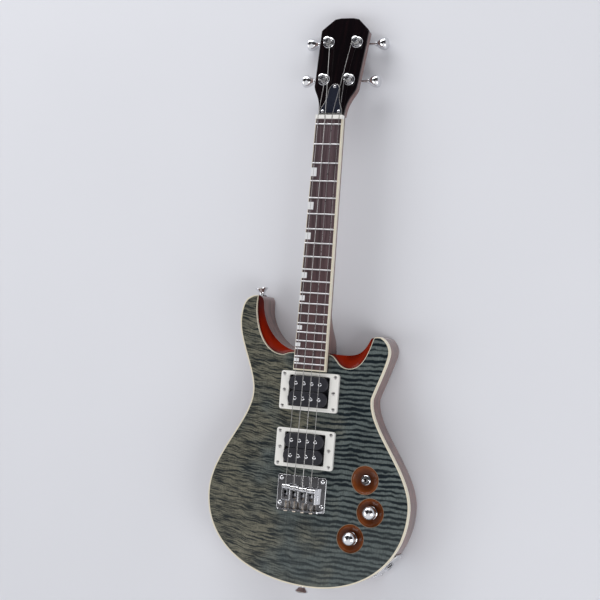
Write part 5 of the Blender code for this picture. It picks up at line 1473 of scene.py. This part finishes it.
def make_tuner_case(letter, side, here):
    """A tuner's case with its lid, and the sleeve that goes up through the headstock."""
    middle = (0, 2.5 * MM)
    case = plate(middle, mm(7.6, 9.5), 2.0 * MM, CASE_BOTTOM, CASE_TOP)
    case = solid(f"tuner_case_{letter}", soften(case, 0.8 * MM, 60, 4, below(CASE_BOTTOM)), "bright_chrome")
    outer, inner, sleeve_top, sleeve_low = *mm(4.8, 3.6, 0.4), CASE_TOP - MM
    sleeve = [
        (outer, sleeve_top), (outer, sleeve_low), (inner, sleeve_low), (inner, sleeve_top),
        (outer, sleeve_top)]
    combine(case, [solid("sleeve", lathe(sleeve, 48))], "UNION")
    reach = side * 12.0 * MM
    bore = rod((-reach * 0.4, WORM_SIDE, WORM_HEIGHT), (reach, WORM_SIDE, WORM_HEIGHT), 1.9 * MM, 24)
    combine(case, [solid("bore", bore), *drills(CASE_BOTTOM + 1.2 * MM, CASE_TOP + MM, inner)])
    lid = plate(middle, mm(5.6, 7.5), 1.4 * MM, CASE_BOTTOM - 0.15 * MM, CASE_BOTTOM + 0.2 * MM)
    combine(case, [solid("lid", soften(lid, 0.1 * MM, segments=2))], "UNION")
    case.data.transform(here)
    seat(case, "instrument", [f"tuner_housing_{letter}"])


def make_tuner_bushing(letter, here):
    """The six-sided bushing and its washer on the headstock's face."""
    inner, washer, top = 4.0 * MM, 7.2 * MM, BUSHING_TOP
    ring = [
        (inner, top - 0.1 * MM), (inner, GAP), (washer, GAP), (washer, top - 0.8 * MM),
        (washer - 0.35 * MM, top - 0.4 * MM), (washer - 1.2 * MM, top - 0.2 * MM), (inner, top - 0.1 * MM)]
    nut = carved(
        rod((0, 0, GAP), (0, 0, top + 0.55 * MM), 6.0 * MM, 6),
        rod((0, 0, -MM), (0, 0, 4.0 * MM), 4.35 * MM, 32))
    bushing = placed(gather([lathe(ring), soften(nut, 0.2 * MM, 50, 2)]), here)
    piece(f"tuner_bushing_{letter}", bushing, "bright_chrome", "instrument")


def make_tuner(letter):
    """A tuner: case and bushing, a drilled string post, and a turned button."""
    center = post_center(letter)
    side = 1 if center.x > 0 else -1
    here = HEAD_FRAME @ Matrix.Translation((center.x, center.y, 0))
    make_tuner_case(letter, side, here)
    make_tuner_bushing(letter, here)

    radius = POST_RADIUS
    top, collar, pin = mm(10.2, 4.1, 2.5)
    foot, pin_end = BUSHING_TOP + GAP, CASE_BOTTOM + 1.5 * MM
    profile = [
        (0, top - 1.3 * MM), (1.4 * MM, top - 1.3 * MM), (1.5 * MM, top - 0.3 * MM), (1.8 * MM, top),
        (collar - 0.9 * MM, top), (collar - 0.3 * MM, top - 0.25 * MM), (collar, top - 0.8 * MM),
        (collar, top - 1.5 * MM), (radius + 0.1 * MM, top - 2.3 * MM), (radius, top - 3.0 * MM),
        (radius, BUSHING_TOP + 1.4 * MM), (collar, BUSHING_TOP + 1.0 * MM), (collar, foot), (radius, foot),
        (radius, CASE_TOP), (pin, CASE_TOP - 0.8 * MM), (pin, pin_end), (0, pin_end)]
    post = solid(f"string_post_{letter}", lathe(profile), "bright_chrome")
    reach, eye = 8.0 * MM, top - 3.6 * MM
    combine(post, [
        solid("eye", rod((-reach, 0, eye), (reach, 0, eye), 0.55 * MM, 16)),
        solid("groove", block((-reach, -0.45 * MM, top - 0.9 * MM), (reach, 0.45 * MM, top + MM))),
    ])
    post.data.transform(here)
    seat(post, f"post_{letter}", [f"tuner_post_{letter}"])

    button = (
        (0, 4.5), (1.4, 4.5), (1.6, 4.3), (1.6, -17.4), (1.8, -18.0), (2.9, -18.4), (3.1, -19.2),
        (2.7, -19.9), (3.2, -20.6), (4.5, -21.9), (5.9, -23.8), (7.0, -26.0), (7.6, -28.2), (7.8, -30.0),
        (7.7, -31.3), (7.2, -32.5), (6.2, -33.5), (4.8, -34.1), (2.6, -34.45), (0, -34.5))
    worm = Matrix.Translation((0, WORM_SIDE, WORM_HEIGHT)) @ Matrix.Rotation(-side * math.pi / 2, 4, "Y")
    key = lathe(button, frame=here @ worm, unit=MM)
    piece(f"tuner_key_{letter}", key, "bright_chrome", f"button_{letter}",
          [f"tuner_button_{letter}"], angle=50)


def make_knob(name, center):
    """A domed knob with a groove near its foot, bored for its shaft."""
    low, high = (corner.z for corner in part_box(f"{name}_knob"))
    bore, bore_top = mm(3.3, 44.3)
    radius, straight = sizes().knob_radius, (high - low) * 0.42
    waist = low + straight
    profile = [(0, high)]
    profile += [(radius * across, waist + (high - waist) * up) for across, up in quarter(14)]
    flanks = ((0.985, 0.8), (0.93, 0.6), (0.90, 0.42), (0.90, 0.30), (0.97, 0.24))
    profile += [(radius * share, low + straight * height) for share, height in flanks]
    profile += [
        (radius * 0.97, low + 0.2 * MM), (radius * 0.94, low), (bore, low), (bore, bore_top), (0, bore_top)]
    dome = lathe(profile, 96, Matrix.Translation((*center, 0)))
    piece(f"{name}_dome", dome, "bright_chrome", f"{name}_control", [f"{name}_knob"], angle=50)


def make_controls():
    """Two domed knobs and the switch with its knurled nut and lever."""
    make_knob("volume", CONTROLS[1])
    make_knob("tone", CONTROLS[2])

    center = CONTROLS[0]
    low, high = (corner.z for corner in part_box("toggle_nut"))
    teeth, bore = 36, 3.4 * MM
    outline = []
    for tooth in range(teeth):
        for share, reach in ((0.0, 5.8), (0.35, 6.2), (0.65, 6.2)):
            outline.append(heading(2 * math.pi * (tooth + share) / teeth) * reach * MM)
    nut = solid("switch_nut", slab(outline, low, high - 0.5 * MM), "bright_chrome")
    crown = [
        (bore, high), (5.2 * MM, high), (5.6 * MM, high - 0.3 * MM), (5.7 * MM, high - 0.6 * MM),
        (bore, high - 0.6 * MM), (bore, high)]
    combine(nut, [solid("crown", lathe(crown, 72))], "UNION")
    combine(nut, drills(low - MM, high + MM, bore, 48))
    nut.data.transform(Matrix.Translation((*center, 0)))
    seat(nut, "instrument", ["toggle_nut"])

    lever = (
        (0, 12.0), (0.7, 11.88), (1.2, 11.55), (1.6, 10.9), (1.7, 10.2), (1.55, 9.2), (1.2, 7.6), (0.95, 6.0),
        (0.9, 2.4), (1.35, 1.5), (1.85, 0.8), (2.0, 0), (1.85, -0.8), (1.35, -1.5), (0.9, -2.0), (0.9, -4.5),
        (0, -4.5))
    bat = lathe(lever, 48, Matrix.Translation((*center, pivot("switch_throw").z)), MM)
    piece("switch_bat", bat, "bright_chrome", "switch_lever", ["toggle_lever"], angle=50)


def side_frame(knots, share, height, sink):
    """A frame on the body's side with its Z axis facing out there."""
    fine = stretch(knots[0], knots[1], 64)
    index = min(len(fine) - 2, int(share * (len(fine) - 1)))
    run = (fine[index + 1] - fine[index]).normalized()
    out = Vector((run.y, -run.x, 0))
    return along(Vector((*fine[index], height)) - out * sink, out)


def jack_frame():
    """The jack plate's seat, on the treble side of the lower bout."""
    return side_frame(RIM_OUTER[4:6], 0.60, *mm(19.5, 1.5))


def strap_frames():
    """The strap buttons' seats, on the tip of the bass horn and at the end of the body."""
    height, sink = mm(20.0, 0.6)
    return {
        "horn": side_frame(RIM_OUTER[0:2], 0.10, height, sink),
        "end": side_frame(RIM_OUTER[3:5], 0.955, height, sink),
    }


def make_jack():
    """The jack plate with its screws, and the socket with its nut."""
    jack = jack_frame()
    high = GAP + 1.6 * MM
    cover = plate((0, 0), JACK_PLATE_HALF, 3.0 * MM, GAP, high)
    cover = soften(cover, sizes().edge_round, where=above(high))
    cover = solid("jack_cover_plate", cover, "bright_chrome")
    combine(cover, drills(-MM, 5.0 * MM, 5.0 * MM, 48))
    cover.data.transform(jack)
    seat(cover, "instrument", ["jack_plate"])
    places = corners(16.4 * MM, 9.6 * MM, high)
    screws("jack_plate_screws", places, sizes().screw_radius, 0.9 * MM, jack)
    nut = carved(
        rod((0, 0, high + GAP), (0, 0, high + GAP + 2.2 * MM), 7.0 * MM, 6),
        rod((0, 0, -MM), (0, 0, 9.0 * MM), 4.6 * MM, 32))
    sleeve = (
        (3.3, 4.4), (3.9, 4.8), (4.4, 4.8), (4.7, 4.5), (4.7, -0.3), (7.7, -0.3), (7.7, -2.3), (4.7, -2.3),
        (4.7, -14.5), (3.3, -14.5), (3.3, 4.4))
    socket = placed(gather([soften(nut, 0.3 * MM, 50, 2), lathe(sleeve, 48, unit=MM)]), jack)
    piece("jack_sleeve", socket, "bright_chrome", "instrument", ["jack_socket"])


def make_fittings():
    """The jack, the strap buttons on their washers, the back cover and the string ferrules."""
    make_jack()
    recess = 10.75
    button = (
        (0, 10.7), (1.8, recess), (2.0, 11.3), (6.5, 11.3), (7.5, 11.0), (8.0, 10.4), (7.8, 9.6), (6.8, 8.6),
        (5.3, 7.0), (4.2, 5.5), (3.7, 4.2), (3.7, 3.2), (4.1, 2.4), (4.7, 1.8), (5.0, 1.5), (5.0, 1.1),
        (2.2, 1.1), (2.2, -11.7), (0, -11.7))
    washer = ((2.4, 0.1), (5.0, 0.1), (5.3, 0.3), (5.3, 0.8), (5.0, 1.05), (2.4, 1.05), (2.4, 0.1))
    for end, place in strap_frames().items():
        head = moved(screw_head(2.0 * MM, 0.35 * MM), place @ Matrix.Translation((0, 0, recess * MM)))
        turned = gather([lathe(button, frame=place, unit=MM), head])
        piece(f"strap_{end}", turned, "bright_chrome", "instrument",
              [f"strap_button_{end}"], angle=45)
        piece(f"strap_washer_{end}", lathe(washer, 48, place, MM), "black_felt", "instrument")

    cover = slab(control_outline(BACK_COVER_RADIUS), GAP, GAP + 2.0 * MM)
    cover = soften(cover, 0.35 * MM, where=below(GAP))
    piece("back_cover", cover, "bobbin_black", "instrument", ["control_cover"])
    middle = sum(CONTROLS, Vector((0, 0))) / len(CONTROLS)
    places = []
    for center in CONTROLS:
        point = center + (center - middle).normalized() * 16.5 * MM
        places.append((point.x, -point.y, -0.45 * MM))
    flip = Matrix.Rotation(math.pi, 4, "X")
    screws("back_cover_screws", places, sizes().screw_radius, 0.35 * MM, flip)
    cup = ((1.9, 4.0), (1.9, 1.4), (2.6, 0.6), (3.9, 0.3), (4.1, 0.5), (4.1, 5.7), (1.9, 5.7), (1.9, 4.0))
    frames = [Matrix.Translation((*hole, 0)) for hole in string_holes()]
    piece("string_ferrules", moved(lathe(cup, 40, unit=MM), *frames), "bright_chrome", "instrument")


def dress_inner_parts():
    """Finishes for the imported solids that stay: they show only through gaps."""
    kept = (
        "truss_rod", "neck_pickup_baseplate", "bridge_pickup_baseplate", "volume_pot", "tone_pot",
        "volume_pot_shaft", "tone_pot_shaft", "toggle_switch")
    for name in kept:
        node = frame["nodes"][name]
        node.data.materials.clear()
        node.data.materials.append(finish("drawn_steel"))


def area_light(name, place, size, power):
    """A soft light that faces the middle of the instrument."""
    light = bpy.data.lights.new(name, "AREA")
    light.shape = "RECTANGLE"
    light.size, light.size_y = size
    light.energy = power
    lamp = bpy.data.objects.new(name, light)
    bpy.context.scene.collection.objects.link(lamp)
    lamp.location = place
    lamp.rotation_euler = (Vector(STUDIO_MIDDLE) - Vector(place)).to_track_quat("-Z", "Y").to_euler()


def make_world():
    """A pale room with two dark corners, which the polished metal and the gloss show."""
    world = bpy.context.scene.world or bpy.data.worlds.new("studio")
    bpy.context.scene.world = world
    paint = Paint(world)
    at = paint.add("ShaderNodeTexCoord", output="Generated")
    room = paint.mix((0.72, 0.73, 0.78), (0.86, 0.86, 0.88), paint.step(paint.split(at)[2], 0.05, 0.55))
    dark_corners = (
        ((-0.38, 0.38, 0.84), 0.76, 0.91, (0.035, 0.033, 0.036)),
        ((0.62, 0.36, 0.70), 0.83, 0.90, (0.045, 0.042, 0.045)),
    )
    for direction, edge, full, color in dark_corners:
        towards = Vector(direction).normalized()
        inputs = {0: at, 1: towards}
        facing = paint.add("ShaderNodeVectorMath", {"operation": "DOT_PRODUCT"}, inputs, output="Value")
        room = paint.mix(room, color, paint.step(facing, edge, full))
    glow = paint.add("ShaderNodeBackground", {}, {"Color": room, "Strength": 1.0})
    paint.add("ShaderNodeOutputWorld", {}, {"Surface": glow})


def make_stage():
    """The floor, the soft lights, the plain world and the camera."""
    scene = bpy.context.scene
    bm = bmesh.new()
    bmesh.ops.create_grid(bm, x_segments=1, y_segments=1, size=6.0)
    bmesh.ops.translate(bm, vec=(0, STUDIO_MIDDLE[1], -GAP), verts=bm.verts)
    floor = solid("floor", bm)
    material = bpy.data.materials.new("pale_floor")
    paint = Paint(material)
    mottle = paint.noise(paint.place(), 3.0, 3.0)
    color = paint.mix((0.72, 0.73, 0.77), (0.76, 0.77, 0.81), mottle)
    paint.surface(base_color=color, roughness=0.75 + mottle * 0.1)
    floor.data.materials.append(material)

    area_light("window", (-0.8, 2.3, 0.9), (2.6, 0.95), 36.0)
    area_light("door", (-1.9, -0.5, 1.5), (1.5, 1.5), 11.0)
    area_light("lamp", (1.6, -0.5, 1.1), (0.9, 1.2), 12.5)
    make_world()

    camera = bpy.data.cameras.new("camera")
    camera.lens = CAMERA_LENS
    camera.sensor_width = CAMERA_SENSOR
    eye = bpy.data.objects.new("camera", camera)
    scene.collection.objects.link(eye)
    eye.location = CAMERA_PLACE
    eye.rotation_euler = [math.radians(angle) for angle in CAMERA_TURN]
    scene.camera = eye
    scene.view_settings.view_transform = "Standard"


class UKULELE_OT_stage(bpy.types.Operator):
    """Sets out the floor, lights, world and camera"""

    bl_idname = "ukulele.stage"
    bl_label = "Stage"

    def execute(self, context):
        make_stage()
        return {"FINISHED"}


class UKULELE_OT_body(bpy.types.Operator):
    """Models the body, the flamed cap and the cream rim"""

    bl_idname = "ukulele.body"
    bl_label = "Body and cap"

    def execute(self, context):
        make_body()
        make_cap()
        return {"FINISHED"}


class UKULELE_OT_neck(bpy.types.Operator):
    """Models the neck, the headstock's veneer and the truss rod cover"""

    bl_idname = "ukulele.neck"
    bl_label = "Neck and headstock"

    def execute(self, context):
        make_neck()
        return {"FINISHED"}


class UKULELE_OT_fingerboard(bpy.types.Operator):
    """Models the fingerboard, frets, inlays, strips and nut"""

    bl_idname = "ukulele.fingerboard"
    bl_label = "Fingerboard"

    def execute(self, context):
        make_fingerboard()
        return {"FINISHED"}


class UKULELE_OT_pickups(bpy.types.Operator):
    """Models both pickups with their rings"""

    bl_idname = "ukulele.pickups"
    bl_label = "Pickups"

    def execute(self, context):
        for place, y in PICKUPS.items():
            make_pickup(place, y)
        return {"FINISHED"}


class UKULELE_OT_bridge(bpy.types.Operator):
    """Models the bridge with its saddles, screws and springs"""

    bl_idname = "ukulele.bridge"
    bl_label = "Bridge"

    def execute(self, context):
        make_bridge()
        return {"FINISHED"}


class UKULELE_OT_strings(bpy.types.Operator):
    """Strings the instrument"""

    bl_idname = "ukulele.strings"
    bl_label = "Strings"

    def execute(self, context):
        for index in range(len(STRINGS)):
            make_string(index)
        return {"FINISHED"}


class UKULELE_OT_tuners(bpy.types.Operator):
    """Models the four tuners"""

    bl_idname = "ukulele.tuners"
    bl_label = "Tuners"

    def execute(self, context):
        for letter in STRINGS:
            make_tuner(letter)
        return {"FINISHED"}


class UKULELE_OT_controls(bpy.types.Operator):
    """Models the knobs and the switch"""

    bl_idname = "ukulele.controls"
    bl_label = "Controls"

    def execute(self, context):
        make_controls()
        return {"FINISHED"}


class UKULELE_OT_fittings(bpy.types.Operator):
    """Models the jack, strap buttons, back cover and ferrules, and finishes the inner parts"""

    bl_idname = "ukulele.fittings"
    bl_label = "Fittings"

    def execute(self, context):
        make_fittings()
        dress_inner_parts()
        return {"FINISHED"}


OPERATORS = (
    UKULELE_OT_stage, UKULELE_OT_body, UKULELE_OT_neck, UKULELE_OT_fingerboard, UKULELE_OT_pickups,
    UKULELE_OT_bridge, UKULELE_OT_strings, UKULELE_OT_tuners, UKULELE_OT_controls, UKULELE_OT_fittings,
)


class VIEW3D_PT_ukulele(bpy.types.Panel):
    """Lists the pieces with the sizes and colours that can be changed"""

    bl_label = "Tenor ukulele"
    bl_space_type = "VIEW_3D"
    bl_region_type = "UI"
    bl_category = "Ukulele"

    def draw(self, context):
        layout = self.layout
        for operator in OPERATORS:
            layout.operator(operator.bl_idname)
        for group in (context.scene.ukulele_sizes, context.scene.ukulele_colours):
            box = layout.box()
            for name in group.__annotations__:
                box.prop(group, name)


CLASSES = (UkuleleSizes, UkuleleColours, *OPERATORS, VIEW3D_PT_ukulele)


def register():
    for cls in CLASSES:
        bpy.utils.register_class(cls)
    bpy.types.Scene.ukulele_sizes = PointerProperty(type=UkuleleSizes)
    bpy.types.Scene.ukulele_colours = PointerProperty(type=UkuleleColours)


def unregister():
    del bpy.types.Scene.ukulele_colours
    del bpy.types.Scene.ukulele_sizes
    for cls in reversed(CLASSES):
        bpy.utils.unregister_class(cls)


def main():
    register()
    for operator in OPERATORS:
        group, name = operator.bl_idname.split(".")
        getattr(getattr(bpy.ops, group), name)()


if __name__ == "__main__":
    main()
